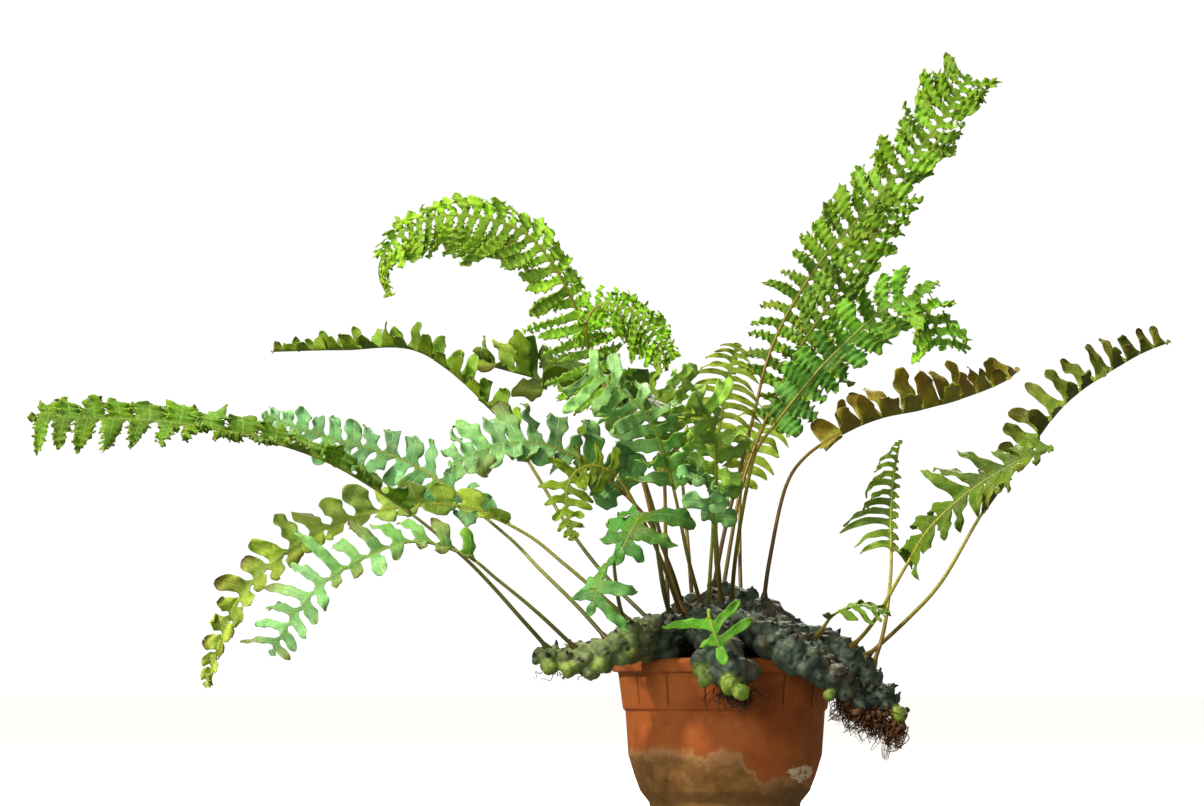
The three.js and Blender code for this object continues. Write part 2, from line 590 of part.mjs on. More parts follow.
function bladeSlab(frond, seed) {
  const curve = frondCurve(frond);
  const length = curve.getLength();
  const { from, pairs, lobe, kind, sweep } = frond.blade;
  const { sides = [1, 1], foot = 0.62, tip = 0.4, end = 0.6 } = frond.blade;
  const start = from * length;
  const stationAt = (k) => start + (length - start) * (1 - (1 - k / (pairs + end)) ** CROWDING);
  const points = [];
  const faces = [];
  const add = (distance, lateral, half) => {
    points.push({ ...bladePoint(curve, length, frond, distance, lateral), half });
    return points.length - 1;
  };
  const stations = [];
  for (let k = 0; k <= pairs; k += 1) {
    const distance = stationAt(k);
    const taper = 1 - 0.45 * (k / pairs);
    const notch = NOTCH * taper;
    stations.push({
      distance,
      rib: add(distance, 0, MIDRIB_HALF * taper),
      left: add(distance, notch, BLADE_HALF),
      right: add(distance, -notch, BLADE_HALF),
      notch,
    });
  }
  for (let k = 0; k < pairs; k += 1) {
    const here = stations[k];
    const next = stations[k + 1];
    const pitch = next.distance - here.distance;
    for (const hand of [1, -1]) {
      const drawn = 1 - LOBE_SPREAD + 2 * LOBE_SPREAD * draw(k * 2 + hand, seed);
      const sized = lobe * sides[hand > 0 ? 0 : 1] * drawn;
      const free = sized * lobeShare((k + 0.5) / pairs, foot, tip);
      const room = lobeRoom(curve, length, frond, here.distance + pitch / 2, hand);
      const reach = Math.min(free, room) - here.notch;
      const outline = reach > LEAST_LOBE ? LOBES[kind] : [];
      const ids = [here.rib, hand > 0 ? here.left : here.right];
      const plane = [[here.distance, 0], [here.distance, hand * here.notch]];
      for (const [share, across] of outline) {
        const lateral = here.notch + share * reach;
        const middle = (here.distance + next.distance) / 2 + sweep * share * reach;
        const distance = middle + across * pitch * LOBE_FILL;
        ids.push(add(distance, hand * lateral, BLADE_HALF));
        plane.push([distance, hand * lateral]);
      }
      ids.push(hand > 0 ? next.left : next.right, next.rib);
      plane.push([next.distance, hand * next.notch], [next.distance, 0]);
      const contour = plane.map(([x, y]) => new THREE.Vector2(x, y));
      for (const [a, b, c] of THREE.ShapeUtils.triangulateShape(contour, [])) {
        const turn = (contour[b].x - contour[a].x) * (contour[c].y - contour[a].y)
          - (contour[b].y - contour[a].y) * (contour[c].x - contour[a].x);
        faces.push(turn > 0 ? [ids[a], ids[b], ids[c]] : [ids[a], ids[c], ids[b]]);
      }
    }
  }
  const last = stations[pairs];
  const rest = length - last.distance;
  const point = add(length, 0, BLADE_HALF);
  const swell = end > 1 ? rest * END_LOBE_WIDTH : last.notch;
  const wide = [1, -1].map((hand) => add(last.distance + rest * 0.5, hand * swell, BLADE_HALF));
  faces.push([last.rib, last.right, wide[1]], [last.rib, wide[1], point]);
  faces.push([last.rib, point, wide[0]], [last.rib, wide[0], last.left]);
  return slab(points, faces);
}

// Tangles of dry roots: thin tubes that spread from one knot
const ROOT_R = 1;
const ROOT_CURL = 14;
const ROOTS = {
  roots_right: { knot: [128, -78, 92], knotR: 9, count: 7, spread: [26, 14], drop: [18, 34], seed: 5 },
  roots_front: { knot: [0, -108, 118], knotR: 6, count: 6, spread: [24, 5], drop: [8, 22], seed: 9 },
};

function rootTangle({ knot, knotR, count, spread, drop, seed }) {
  const core = new THREE.IcosahedronGeometry(knotR, 0);
  core.scale(1.5, 0.8, 0.8);
  core.translate(...knot);
  let tangle = toSolid(core);
  for (let i = 0; i < count; i += 1) {
    const sideways = ((i + 0.5) / count - 0.5) * 2 * spread[0];
    const forward = (draw(i, seed) - 0.5) * 2 * spread[1];
    const fall = drop[0] + draw(i, seed + 1) * (drop[1] - drop[0]);
    const curl = (draw(i, seed + 2) - 0.5) * ROOT_CURL;
    const curve = new THREE.CatmullRomCurve3([
      vector([knot[0] + sideways * 0.2, knot[1], knot[2]]),
      vector([knot[0] + sideways * 0.6, knot[1] + forward * 0.5, knot[2] - fall * 0.4]),
      vector([knot[0] + sideways + curl, knot[1] + forward, knot[2] - fall]),
    ]);
    tangle = tangle.add(toSolid(tube(curve, 3, 4, () => ROOT_R)));
  }
  return tangle;
}

const plant = new THREE.Group();
plant.name = 'potted_ant_fern';

const pot = buildPot();
plant.add(named('pot', toGeometry(pot), '#c06a3a', 0.7));

const soil = buildSoil(GAP, 0);
plant.add(named('soil', toGeometry(soil), '#2b2118', 0.95));

const { outer, inner } = potProfile();
const grown = outer.map(([r, z]) => [r > 0 ? r + GAP : 0, z + (z > RIM_TOP - 1 ? GAP : 0)]);
const clearOfPot = toSolid(lathe([...grown, ...inner.map(([r, z]) => [Math.max(r - GAP, 0), z + GAP])]));
const clearOfSoil = buildSoil(GAP, GAP * 2);

let rhizome = null;
Object.keys(BRANCHES).forEach((name, seed) => {
  const branch = toSolid(branchTube(name, seed + 1));
  rhizome = rhizome ? rhizome.add(branch) : branch;
});
const rhizomeBody = rhizome.subtract(clearOfPot).subtract(clearOfSoil);
let socketed = rhizomeBody;
for (const frond of Object.values(FRONDS)) {
  socketed = socketed.subtract(toSolid(stipeTube(frond, GAP)));
}
const rhizomeSolid = biggestBody(socketed);
plant.add(named('rhizome', toGeometry(rhizomeSolid), '#46584f', 0.5));

for (const [name, tangle] of Object.entries(ROOTS)) {
  const clear = rootTangle(tangle).subtract(rhizomeBody).subtract(clearOfPot);
  plant.add(named(name, toGeometry(biggestBody(clear)), '#5a3d22', 0.9));
}

Object.entries(FRONDS).forEach(([name, frond], seed) => {
  plant.add(named(`${name}_stipe`, stipeTube(frond, 0), '#5a4a1e', 0.6));
  plant.add(named(`${name}_blade`, bladeSlab(frond, seed), frond.color, 0.55));
});

export default plant;
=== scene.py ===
# Potted ant fern, dressed for its portrait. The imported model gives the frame; every node is replaced by a
# finer piece that keeps its form: the thrown pot, the soil, the lumpy rhizome, its roots, and for each frond
# a stipe and a lobed blade. Tables are in millimetres, and every mesh is made in metres.
import functools
import math

import bpy
import numpy as np
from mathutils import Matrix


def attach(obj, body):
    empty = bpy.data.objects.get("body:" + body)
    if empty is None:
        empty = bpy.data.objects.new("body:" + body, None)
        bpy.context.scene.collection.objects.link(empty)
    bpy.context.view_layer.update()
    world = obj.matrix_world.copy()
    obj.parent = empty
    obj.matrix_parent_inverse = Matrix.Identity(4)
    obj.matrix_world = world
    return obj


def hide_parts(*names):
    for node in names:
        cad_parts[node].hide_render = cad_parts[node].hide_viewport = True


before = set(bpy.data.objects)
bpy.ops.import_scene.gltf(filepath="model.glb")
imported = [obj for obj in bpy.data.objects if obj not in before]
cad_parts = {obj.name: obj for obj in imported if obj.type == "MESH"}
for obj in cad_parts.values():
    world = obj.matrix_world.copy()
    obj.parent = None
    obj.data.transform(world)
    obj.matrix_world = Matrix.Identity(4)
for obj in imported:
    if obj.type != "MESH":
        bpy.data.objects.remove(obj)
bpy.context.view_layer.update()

MM = 0.001
TAU = math.tau
PHOTO_WIDTH = 1204
PHOTO_HEIGHT = 806
MM_PER_PIXEL = 0.885

# Pot
RIM_R = 100
RIM_TOP = 136.5
LIP_HEIGHT = 12.5
COLLAR_HEIGHT = 31.5
COLLAR_TOP_R = 94.5
COLLAR_LOW_R = 90.8
BELLY_R = 88.6
FOOT_R = 66
FOOT_HEIGHT = 9
WALL = 6
HUB_R = 0.4
PANELS = 16
GROOVE_WIDTH = 2.4
GROOVE_DEPTH = 1.2

# Soil and rhizome
GAP = 0.3
SOIL_EDGE = 126
SOIL_DOME = 26
SOIL_CRUMBS = 260
LUMP_STEP = 11
SKIN_VOXEL = 1.5
POINTS_AT_ONCE = 4000

# Fronds
STIPE_R = 2.0
STIPE_TOP_R = 1.4
STIPE_SEAT = 5.5
STIPE_SIDES = 10
STIPE_STEP = 6
RIB_TIP_R = 0.45
RIB_SIDES = 8
RIB_STEP = 7
BLADE_HALF = 0.26
LEAST_LOBE = 5
LEAST_HALF = 0.35
TOOTH_STEP = 3.6
BASE_FILL = 0.53
BEND_SPAN = 9
END_LOBE_HALF = 3.84
CROWDING = 1.25

BRIGHT = "blade_bright_green"
BLUE = "blade_blue_green"
DARK = "blade_dark_green"
OLIVE = "blade_olive_brown"

# Centre lines of the branches, with the radius at each point
BRANCHES = {
    "left": [(-40, -45, 158, 17), (-62, -88, 158, 16), (-82, -108, 146, 16), (-112, -114, 136, 16),
             (-140, -114, 134, 15), (-164, -112, 138, 10)],
    "front": [(-22, -35, 168, 20), (-12, -82, 160, 19), (-8, -114, 146, 19), (2, -123, 126, 17),
              (8, -124, 111, 11)],
    "middle": [(-45, -10, 155, 20), (-22, -5, 178, 19), (12, 5, 181, 19), (38, -5, 165, 20),
               (60, -20, 150, 18)],
    "back": [(-52, 36, 148, 17), (-15, 50, 158, 18), (25, 45, 156, 18), (55, 28, 148, 16)],
    "cross": [(-36, -48, 156, 18), (0, -22, 172, 18), (16, 22, 166, 18), (24, 52, 156, 17)],
    "right_upper": [(4, -4, 170, 16), (58, -40, 156, 16), (92, -60, 146, 15), (114, -70, 130, 14),
                    (130, -75, 113, 13), (142, -77, 98, 11), (151, -77, 86, 8)],
    "right_lower": [(0, -24, 164, 18), (34, -84, 154, 17), (60, -107, 138, 15), (86, -102, 124, 15),
                    (106, -93, 106, 13), (118, -86, 90, 10)],
}

# Columns of the fronds' table. branch and root: the branch that it grows from, and its share of that branch.
# way: points of the midrib. start: share of the midrib where the blade begins. pairs: pairs of lobes. lobe: length
# of the longest. faces: the way that the blade faces at its foot and tip. look: shape of the lobes, as in LOOKS.
# slot: the leaf material that it takes. top: leaf colours at foot and tip. under: colour of the back.
COLUMNS = ("branch", "root", "way", "start", "pairs", "lobe", "faces", "look", "slot", "top", "under")

# What most fronds share. fold: how far the lobes fold upwards at foot and tip. bend: how they curve from there
# (bends: on the left and right). sweep: how they lean forwards. sides: their size on the left and right. foot and
# tip: size of the first and last. end: length of the end lobe against their spacing. bloom: strength of the white
# bloom. dry: share of withered lobes. Some have ends: colour of their lobes' ends, crest: the lobes on the right
# stand as a blunt crest, or star: length, sweep and fullness of each lobe.
USUAL = dict(fold=(0.1, 0.1), bend=-0.5, sweep=0.1, sides=(1, 1), foot=0.62, tip=0.4, end=0.6, bloom=0.1, dry=0)


def grown(*row, **own):
    return {**USUAL, **dict(zip(COLUMNS, row)), **own}


FRONDS = {
    "far_left": grown(
        "left", 0.9, [(-172, -120, 165), (-230, -138, 225), (-305, -150, 283), (-376, -150, 318), (-482, -144, 341),
        (-609, -130, 346)], 0.33, 13, 38, [(0, -0.3, 1), (0, -0.95, 0.3)], "crested_late", BRIGHT,
        ("#4e7c14", "#66981e"), "#4e780c", fold=(1.3, 0), crest=1, bends=(-0.3, -1.9), foot=0.45, sides=(1.02, 0.52),
        tip=0.9, bloom=0.2, dry=0.02),
    "left_blue": grown(
        "left", 0.57, [(-128, -102, 183), (-163, -84, 214), (-196, -62, 247), (-274, -35, 306), (-358, -25, 333),
        (-409, -20, 352)], 0.42, 13, 28, [(0, -1, 0.2), (0, -0.9, 0.4)], "rounded", BLUE, ("#62a868", "#78bc80"),
        "#6c9426", fold=(0.15, 0.15), bend=-0.3, sweep=0.2, bloom=0.8),
    "low_left_inner": grown(
        "left", 0.74, [(-163, -128, 178), (-199, -150, 204), (-230, -170, 227), (-279, -192, 236), (-343, -210, 205),
        (-378, -214, 166), (-394, -212, 138)], 0.36, 12, 41, [(0, -0.45, 0.9), (-0.6, -0.8, 0.2)], "combed", BLUE,
        ("#62a02e", "#86c88c"), "#8cb032", fold=(0.6, 0.1), bend=-0.4, sides=(0.7, 1.15), tip=0.75, bloom=0.6,
        dry=0.12),
    "low_left_outer": grown(
        "left", 0.36, [(-110, -94, 192), (-141, -90, 218), (-177, -86, 246), (-231, -85, 269), (-293, -90, 267),
        (-361, -98, 244), (-424, -100, 190), (-455, -95, 110)], 0.3, 17, 27, [(0, -0.7, 0.7), (-0.6, -0.8, 0)],
        "rounded", BRIGHT, ("#84a82c", "#bcd454"), "#a8be3c", fold=(0.6, 0.5), bend=-0.3, tip=0.3, sides=(0.75, 1.1),
        foot=0.3, sweep=0.2, bloom=0.45, dry=0.16),
    "upper_left": grown(
        "left", 0.2, [(-110, -50, 203), (-138, -30, 251), (-170, -10, 304), (-203, 10, 354), (-270, 45, 409),
        (-340, 72, 412), (-405, 92, 411)], 0.46, 15, 23, [(0, -0.3, 0.9), (0, -0.25, 0.9)], "upright", DARK,
        ("#8ab43a", "#82aa34"), "#6c8814", fold=(1.15, 1.15), bend=-0.2, tip=0.5, foot=1, sweep=0.15, dry=0.05),
    "mid_left": grown(
        "middle", 0.12, [(-42, -42, 214), (-66, -58, 254), (-88, -72, 279), (-119, -86, 305), (-159, -96, 323),
        (-199, -102, 322), (-243, -108, 304)], 0.42, 11, 37, [(0, -0.9, 0.4), (0, -0.9, 0.5)], "wavy", BLUE,
        ("#70b068", "#8ac888"), "#6a8a20", fold=(0.2, 0.2), bend=-0.4, sides=(0.7, 1.1), foot=0.9, tip=0.7,
        sweep=0.2, bloom=0.8, dry=0.03),
    "back_left_olive": grown(
        "back", 0.03, [(-52, 38, 241), (-54, 46, 303), (-66, 62, 347), (-106, 78, 366), (-153, 95, 383),
        (-225, 112, 403)], 0.5, 8, 44, [(0, -0.4, 0.9), (0, -0.4, 0.9)], "tossed", DARK, ("#74a04c", "#7ca040"),
        "#5e7c1c", fold=(0.9, 1.1), tip=0.6, foot=1, sweep=0.3, bloom=0.05, dry=0.1),
    "curled_top": grown(
        "middle", 0.02, [(-55, 6, 196), (-68, 16, 276), (-88, 20, 338), (-110, 12, 391), (-126, 2, 431),
        (-144, -8, 471), (-172, -14, 508), (-208, -15, 524), (-250, -12, 527), (-284, -8, 514), (-303, -4, 492),
        (-306, 0, 474), (-298, 3, 456)], 0.37, 34, 36, [(0.1, -0.9, 0.1), (0, -1, 0.1)], "frilled", BRIGHT,
        ("#90cc36", "#a0d232"), "#7fae1c", fold=(0.05, 0.05), bend=-0.4, sweep=0.05, sides=(1.2, 0.55), foot=1.45,
        tip=0.12, bloom=0.2, dry=0.02),
    "backlit": grown(
        "cross", 0.1, [(-50, -42, 196), (-66, -44, 276), (-88, -50, 338), (-114, -56, 391), (-123, -62, 424),
        (-112, -66, 446), (-86, -70, 442), (-64, -74, 424), (-45, -76, 398)], 0.66, 20, 34, [(0.2, -0.9, 0.2),
        (0, -0.9, 0.5)], "frilled", BRIGHT, ("#84c81c", "#88c820"), "#8cc41a", bend=-0.4, sides=(0.5, 1.1)),
    "upright_centre": grown(
        "cross", 0.38, [(-14, -34, 223), (-8, -45, 276), (-8, -55, 320), (-4, -60, 347), (2, -62, 382),
        (11, -60, 413)], 0.55, 13, 44, [(0, -0.8, 0.6), (0, -0.9, 0.4)], "arched", BRIGHT, ("#96ac2c", "#88a026"),
        "#848018", fold=(0.2, 0.2), sweep=0.3, sides=(1, 0.8), dry=0.03),
    "tallest": grown(
        "middle", 0.33, [(-4, 6, 241), (9, 10, 285), (18, 15, 320), (28, 20, 360), (38, 28, 400), (55, 38, 440),
        (89, 50, 493), (140, 60, 550), (188, 72, 608), (221, 84, 658)], 0.36, 27, 35, [(0.2, -0.9, 0.1),
        (0, -0.9, 0.4)], "crested", BRIGHT, ("#6c9c28", "#84bc24"), "#76a01c", bend=-0.4, sides=(0.92, 0.68),
        foot=0.95, tip=1.12, bloom=0.2, dry=0.04),
    "tall_back": grown(
        "back", 0.42, [(6, 58, 250), (16, 70, 289), (28, 80, 325), (46, 96, 367), (68, 112, 413), (90, 125, 446),
        (122, 140, 494), (166, 156, 556)], 0.42, 20, 23, [(0.3, -0.9, 0.1), (0, -0.9, 0.4)], "crested", BRIGHT,
        ("#60962a", "#7cb02c"), "#68901a", bend=-0.4, tip=0.8, bloom=0.15, dry=0.05),
    "bright_curl": grown(
        "cross", 0.45, [(6, -52, 220), (14, -74, 262), (22, -91, 303), (29, -98, 322), (49, -107, 349),
        (80, -116, 387), (106, -122, 413), (133, -126, 437), (160, -127, 449), (179, -126, 431), (189, -124, 404)],
        0.46, 15, 32, [(0.2, -0.9, 0.3), (0.2, -0.9, 0.2)], "frilled_late", BRIGHT, ("#4e9434", "#86cc34"),
        "#76b024", bend=-0.3, foot=0.65, tip=0.9, bloom=0.2, dry=0.01),
    "olive_right": grown(
        "middle", 0.72, [(36, -12, 223), (53, -2, 285), (71, 9, 314), (102, 25, 335), (137, 45, 350), (173, 65, 358),
        (208, 85, 368), (244, 105, 382), (266, 118, 397)], 0.42, 11, 38, [(0, -0.35, 0.9), (0, -0.3, 0.9)], "winged",
        OLIVE, ("#b0b458", "#a8a04c"), "#9a9028", fold=(1.1, 1.1), bend=-0.2, tip=0.65, sweep=-0.3, bloom=0.05,
        dry=0.2, ends="#926a24"),
    "far_right": grown(
        "right_upper", 0.7, [(164, -60, 168), (191, -45, 205), (226, -25, 263), (261, -5, 310), (302, 18, 363),
        (360, 42, 402), (398, 55, 419)], 0.42, 13, 34, [(-0.5, -0.5, 0.6), (-0.3, -0.35, 0.9)], "upright", OLIVE,
        ("#84a83c", "#8a983a"), "#586610", fold=(0.7, 1.1), bend=-0.2, sweep=-0.1, tip=0.6, bloom=0.15, dry=0.12,
        ends="#54481a"),
    "right_low": grown(
        "right_upper", 0.62, [(133, -95, 161), (155, -115, 214), (177, -130, 250), (213, -142, 283),
        (252, -152, 307), (283, -157, 319)], 0.4, 9, 42, [(-0.3, -0.8, 0.5), (0, -0.8, 0.6)], "tattered", BRIGHT,
        ("#527810", "#6c8c2c"), "#5a7610", fold=(0.25, 0.25), sides=(1, 0.6), foot=1.05, tip=0.6, sweep=-0.45,
        bloom=0.12, dry=0.03),
    "right_upright": grown(
        "right_upper", 0.78, [(146, -72, 161), (145, -64, 214), (145, -58, 258), (148, -54, 298), (154, -52, 328)],
        0.52, 12, 48, [(-0.1, -0.8, 0.3), (-0.9, -0.4, 0.3)], "arched", BRIGHT, ("#688a1c", "#5c7e1a"), "#6c821a",
        fold=(0.2, 0.2), bend=-0.4, tip=0.3, sweep=0.3, sides=(1, 0.2), dry=0.02),
    "small_right": grown(
        "right_upper", 0.46, [(88, -92, 168), (92, -104, 173), (104, -112, 180), (122, -116, 182), (142, -118, 176)],
        0.42, 5, 24, [(0, -0.35, 0.9), (0, -0.3, 0.9)], "combed", BRIGHT, ("#6c9a24", "#6fa02c"), "#6a8a20",
        fold=(0, 0), bend=-0.9, sweep=0.5, bloom=0.05),
    "young_front": grown(
        "front", 0.5, [(-12, -126, 174), (-16, -140, 178), (-15, -150, 170), (-9, -155, 152), (-2, -158, 130)], 0.54,
        2, 37, [(0, -1, 0.2), (0, -1, 0.1)], "star", BRIGHT, ("#72c63c", "#6cc03c"), "#74b83a", bend=-0.3,
        sweep=-0.35, foot=0.9, tip=0.85, end=1.6, star=[((32, -0.6, 0.9), (42, -0.4, 0.9)), ((35, -0.4, 0.9),
        (16, 0.1, 0.8))], bloom=0.05),
    "broad_front": grown(
        "left", 0.05, [(-58, -76, 195), (-60, -100, 228), (-64, -124, 254), (-71, -144, 262), (-81, -158, 250),
        (-98, -166, 216)], 0.68, 3, 44, [(0, 0.3, 0.9), (0, -1, 0.2)], "broad", DARK, ("#3c8030", "#448a3a"),
        "#3e7020", star=[((52, -0.2, 1.3), (46, -0.3, 1.5)), ((44, 0.1, 1.1), (42, 0, 1.3)), ((24, 0.3, 0.9),
        (26, 0.2, 0.9))], foot=0.8, tip=0.7, end=1.5, bloom=0.15),
    "broad_left": grown(
        "left", 0.47, [(-97, -130, 180), (-97, -146, 206), (-99, -160, 222), (-103, -172, 220), (-110, -180, 203),
        (-120, -185, 172)], 0.67, 3, 46, [(0, 0.4, 0.9), (0, -1, 0.3)], "broad", BLUE, ("#4a923c", "#5ca65a"),
        "#4c8226", bend=-0.4, star=[((34, -0.5, 0.9), (50, 0.1, 1.5)), ((38, -0.1, 0.9), (26, 0.3, 1)),
        ((38, 0.5, 1), (22, 0.3, 0.8))], sweep=0, foot=0.8, tip=0.7, end=1.4, bloom=0.4),
    "hanging_tip": grown(
        "cross", 0.02, [(-52, -78, 223), (-78, -104, 267), (-94, -117, 292), (-114, -127, 304), (-133, -133, 297),
        (-140, -137, 274), (-134, -138, 238)], 0.6, 9, 24, [(0.3, -0.9, 0.3), (-0.3, -0.9, 0.1)], "combed", BRIGHT,
        ("#74901e", "#86a626"), "#84921c", bend=-0.3, foot=1.35, tip=0.3, bloom=0.05),
    "centre_left": grown(
        "cross", 0.2, [(-36, -66, 223), (-44, -84, 276), (-56, -98, 320), (-72, -108, 351), (-97, -114, 373),
        (-126, -118, 386)], 0.46, 10, 35, [(0, -0.9, 0.4), (0, -0.8, 0.6)], "tossed", BLUE, ("#88c868", "#98d484"),
        "#7ea030", fold=(0.2, 0.2), tip=0.9, foot=0.8, sides=(1.3, 1), sweep=0.2, bloom=0.6),
    "centre_front": grown(
        "cross", 0.35, [(-14, -78, 258), (-9, -104, 303), (-13, -124, 338), (-28, -136, 366), (-48, -144, 386)],
        0.46, 9, 36, [(0, -0.9, 0.4), (0, -0.8, 0.6)], "tossed", DARK, ("#98cc4c", "#a6d458"), "#7aa022",
        fold=(0.2, 0.2), tip=0.65, foot=0.8, sweep=0.2, bloom=0.35, dry=0.02),
    "centre_back_left": grown(
        "back", 0.25, [(-31, 66, 241), (-38, 90, 303), (-48, 116, 347), (-62, 140, 378), (-72, 160, 396)], 0.5, 9,
        30, [(0, -0.7, 0.7), (0, -0.5, 0.9)], "tossed", DARK, ("#90be34", "#9cc444"), "#6c8c1c", fold=(0.2, 0.2),
        tip=0.65, sweep=0.2, bloom=0.15, dry=0.03),
    "centre_back_right": grown(
        "back", 0.62, [(12, 68, 232), (16, 94, 290), (28, 122, 330), (48, 148, 356), (72, 168, 366)], 0.5, 11, 30,
        [(0, -0.7, 0.7), (0, -0.5, 0.9)], "arched", DARK, ("#8cac2c", "#96b430"), "#6a7016", fold=(0.2, 0.2),
        tip=0.65, foot=0.5, sweep=0.3, dry=0.06),
    "centre_low": grown(
        "front", 0.22, [(-14, -96, 215), (-12, -124, 252), (-15, -150, 280), (-23, -178, 293), (-37, -202, 292)],
        0.5, 7, 30, [(0, -0.8, 0.7), (0, -0.8, 0.6)], "tossed", BLUE, ("#74b868", "#88cc84"), "#5e9440",
        fold=(0.15, 0.15), sweep=0.2, bloom=0.5),
}

# Shapes of lobe. Each pair is for the foot and for the tip of the blade. pointed: from blunt to lance shaped.
# teeth: depth of the teeth. fill: share of the spacing that it fills. waist: width of its waist against its belly.
# droop: how far its end hangs against its length. turn: the share of the blade over which the tip's shape sets
# in. wing: how far the lobes are joined along the midrib, and ripple: height of the edge waves, in millimetres.
# wave: depth of the wavy outline. twist and curl: how far it turns about its own line, and how its end rolls up
# or down, in radians. loose: how much the lobes differ from each other.
LOOK_COLUMNS = ("pointed", "teeth", "fill", "waist", "droop", "turn", "wing", "ripple", "wave", "twist", "curl",
                "loose")
LOOKS = {
    "wavy": ((0, 0.05), (0, 0), (1.34, 1.3), (0.6, 0.6), (-0.1, 0), (0, 1), 3.4, 3.4, 0.12, 0.55, -0.4, 0.9),
    "tossed": ((0, 0.05), (0, 0), (1.2, 1.16), (0.58, 0.58), (-0.1, 0), (0, 1), 3, 3, 0.1, 0.9, -0.5, 1.7),
    "rounded": ((0, 0.1), (0, 0), (1, 0.95), (0.55, 0.6), (0, 0.05), (0, 1), 3.4, 2.6, 0.1, 0.4, -0.3, 0.8),
    "broad": ((0.35, 0.35), (0, 0), (1, 1), (0.85, 0.85), (-0.1, -0.1), (0, 1), 9, 2.6, 0.24, 0.2, -0.4, 0.6),
    "star": ((0.6, 0.6), (0, 0), (0.82, 0.8), (0.7, 0.7), (0, 0), (0, 1), 4, 1.6, 0.14, 0.15, -0.1, 0.3),
    "combed": ((0.25, 0.35), (0, 0), (0.76, 0.7), (0.6, 0.6), (0.05, 0.2), (0, 1), 3, 1.8, 0.1, 0.35, -0.3, 0.6),
    "arched": ((0.6, 0.7), (0, 0), (0.78, 0.72), (0.75, 0.75), (-0.6, -0.6), (0, 1), 2.6, 1.6, 0.1, 0.3, -0.3, 0.4),
    "upright": ((0, 0.1), (0, 0), (0.66, 0.58), (0.8, 0.8), (-0.1, 0), (0, 1), 8, 2, 0.1, 0.4, 0.3, 0.7),
    "tattered": ((0.6, 0.5), (0, 0), (0.76, 0.76), (0.8, 0.8), (-0.3, -0.1), (0, 1), 6, 2.6, 0.2, 0.6, -0.5, 1.1),
    "winged": ((0, 0.1), (0, 0), (0.86, 0.72), (0.85, 0.85), (-0.1, 0), (0, 1), 12, 2, 0.12, 0.5, 0.4, 0.8),
    "crested": ((0.7, 0.1), (0.3, 1), (0.7, 1.8), (0.8, 0.32), (-0.4, 0.35), (0.16, 0.42), 2, 3.4, 0.08, 0.6, -0.4,
                0.7),
    "crested_late": ((0.1, 0.9), (0, 1), (0.62, 0.98), (0.5, 0.85), (-0.1, 0), (0.15, 0.35), 2.4, 4, 0.12, 0.4,
                     -0.3, 0.7),
    "frilled_late": ((0.3, 0.1), (0.5, 1), (1.3, 1.6), (0.85, 0.36), (-0.1, 0.35), (0.3, 0.6), 2.6, 3.2, 0.12, 0.6,
                     -0.4, 0.9),
    "frilled": ((0.4, 0.1), (0.8, 1), (0.9, 1.7), (0.75, 0.32), (-0.1, 0.35), (0.12, 0.4), 2, 3.4, 0.08, 0.6, -0.4,
                0.7),
}
LOOKS = {name: dict(zip(LOOK_COLUMNS, row)) for name, row in LOOKS.items()}


# Small tools

def rgba(text):
    """An sRGB hex colour as linear red, green and blue, and full cover."""
    parts = (int(text[i:i + 2], 16) / 255 for i in (1, 3, 5))
    return np.array([*(p / 12.92 if p <= 0.04045 else ((p + 0.055) / 1.055) ** 2.4 for p in parts), 1])


def ease(low, high, x):
    """Smooth step from 0 at low to 1 at high."""
    t = np.clip((np.asarray(x, float) - low) / (high - low), 0, 1)
    return t * t * (3 - 2 * t)


def between(a, b, share):
    return a + (b - a) * share


def unit(rows):
    return rows / np.maximum(np.linalg.norm(rows, axis=-1, keepdims=True), 1e-9)


def smooth_line(points, steps=400):
    """Evenly spaced points on the smooth curve through the given points, and its length."""
    given = np.array(points, float)
    held = np.vstack([2 * given[0] - given[1], given, 2 * given[-1] - given[-2]])
    t = np.linspace(0, len(given) - 1, steps)
    i = np.minimum(t.astype(int), len(given) - 2)
    w = (t - i)[:, None]
    before, here, after, later = held[i], held[i + 1], held[i + 2], held[i + 3]
    leave, arrive = (after - before) / 2, (later - here) / 2
    line = here + leave * w + (3 * (after - here) - 2 * leave - arrive) * w ** 2
    line += (2 * (here - after) + leave + arrive) * w ** 3
    run = np.concatenate([[0], np.cumsum(np.linalg.norm(np.diff(line, axis=0), axis=1))])
    even = np.linspace(0, run[-1], steps)
    return np.column_stack([np.interp(even, run, column) for column in line.T]), run[-1]


def at(table, length, distance):
    """Rows of a table that runs evenly along a curve, at distances along it."""
    steps = np.linspace(0, length, len(table))
    return np.stack([np.interp(distance, steps, column) for column in table.T], axis=-1)


def mark(mesh, name, rows):
    """Keeps a number for each point of a mesh, or its colour where the name is leaf_colour."""
    kind, field = ("FLOAT_COLOR", "color") if name == "leaf_colour" else ("FLOAT", "value")
    mesh.attributes.new(name, kind, "POINT").data.foreach_set(field, rows.astype(np.float32).ravel())


def shade_smooth(piece):
    piece.data.polygons.foreach_set("use_smooth", np.ones(len(piece.data.polygons), bool))
    piece.data.update()


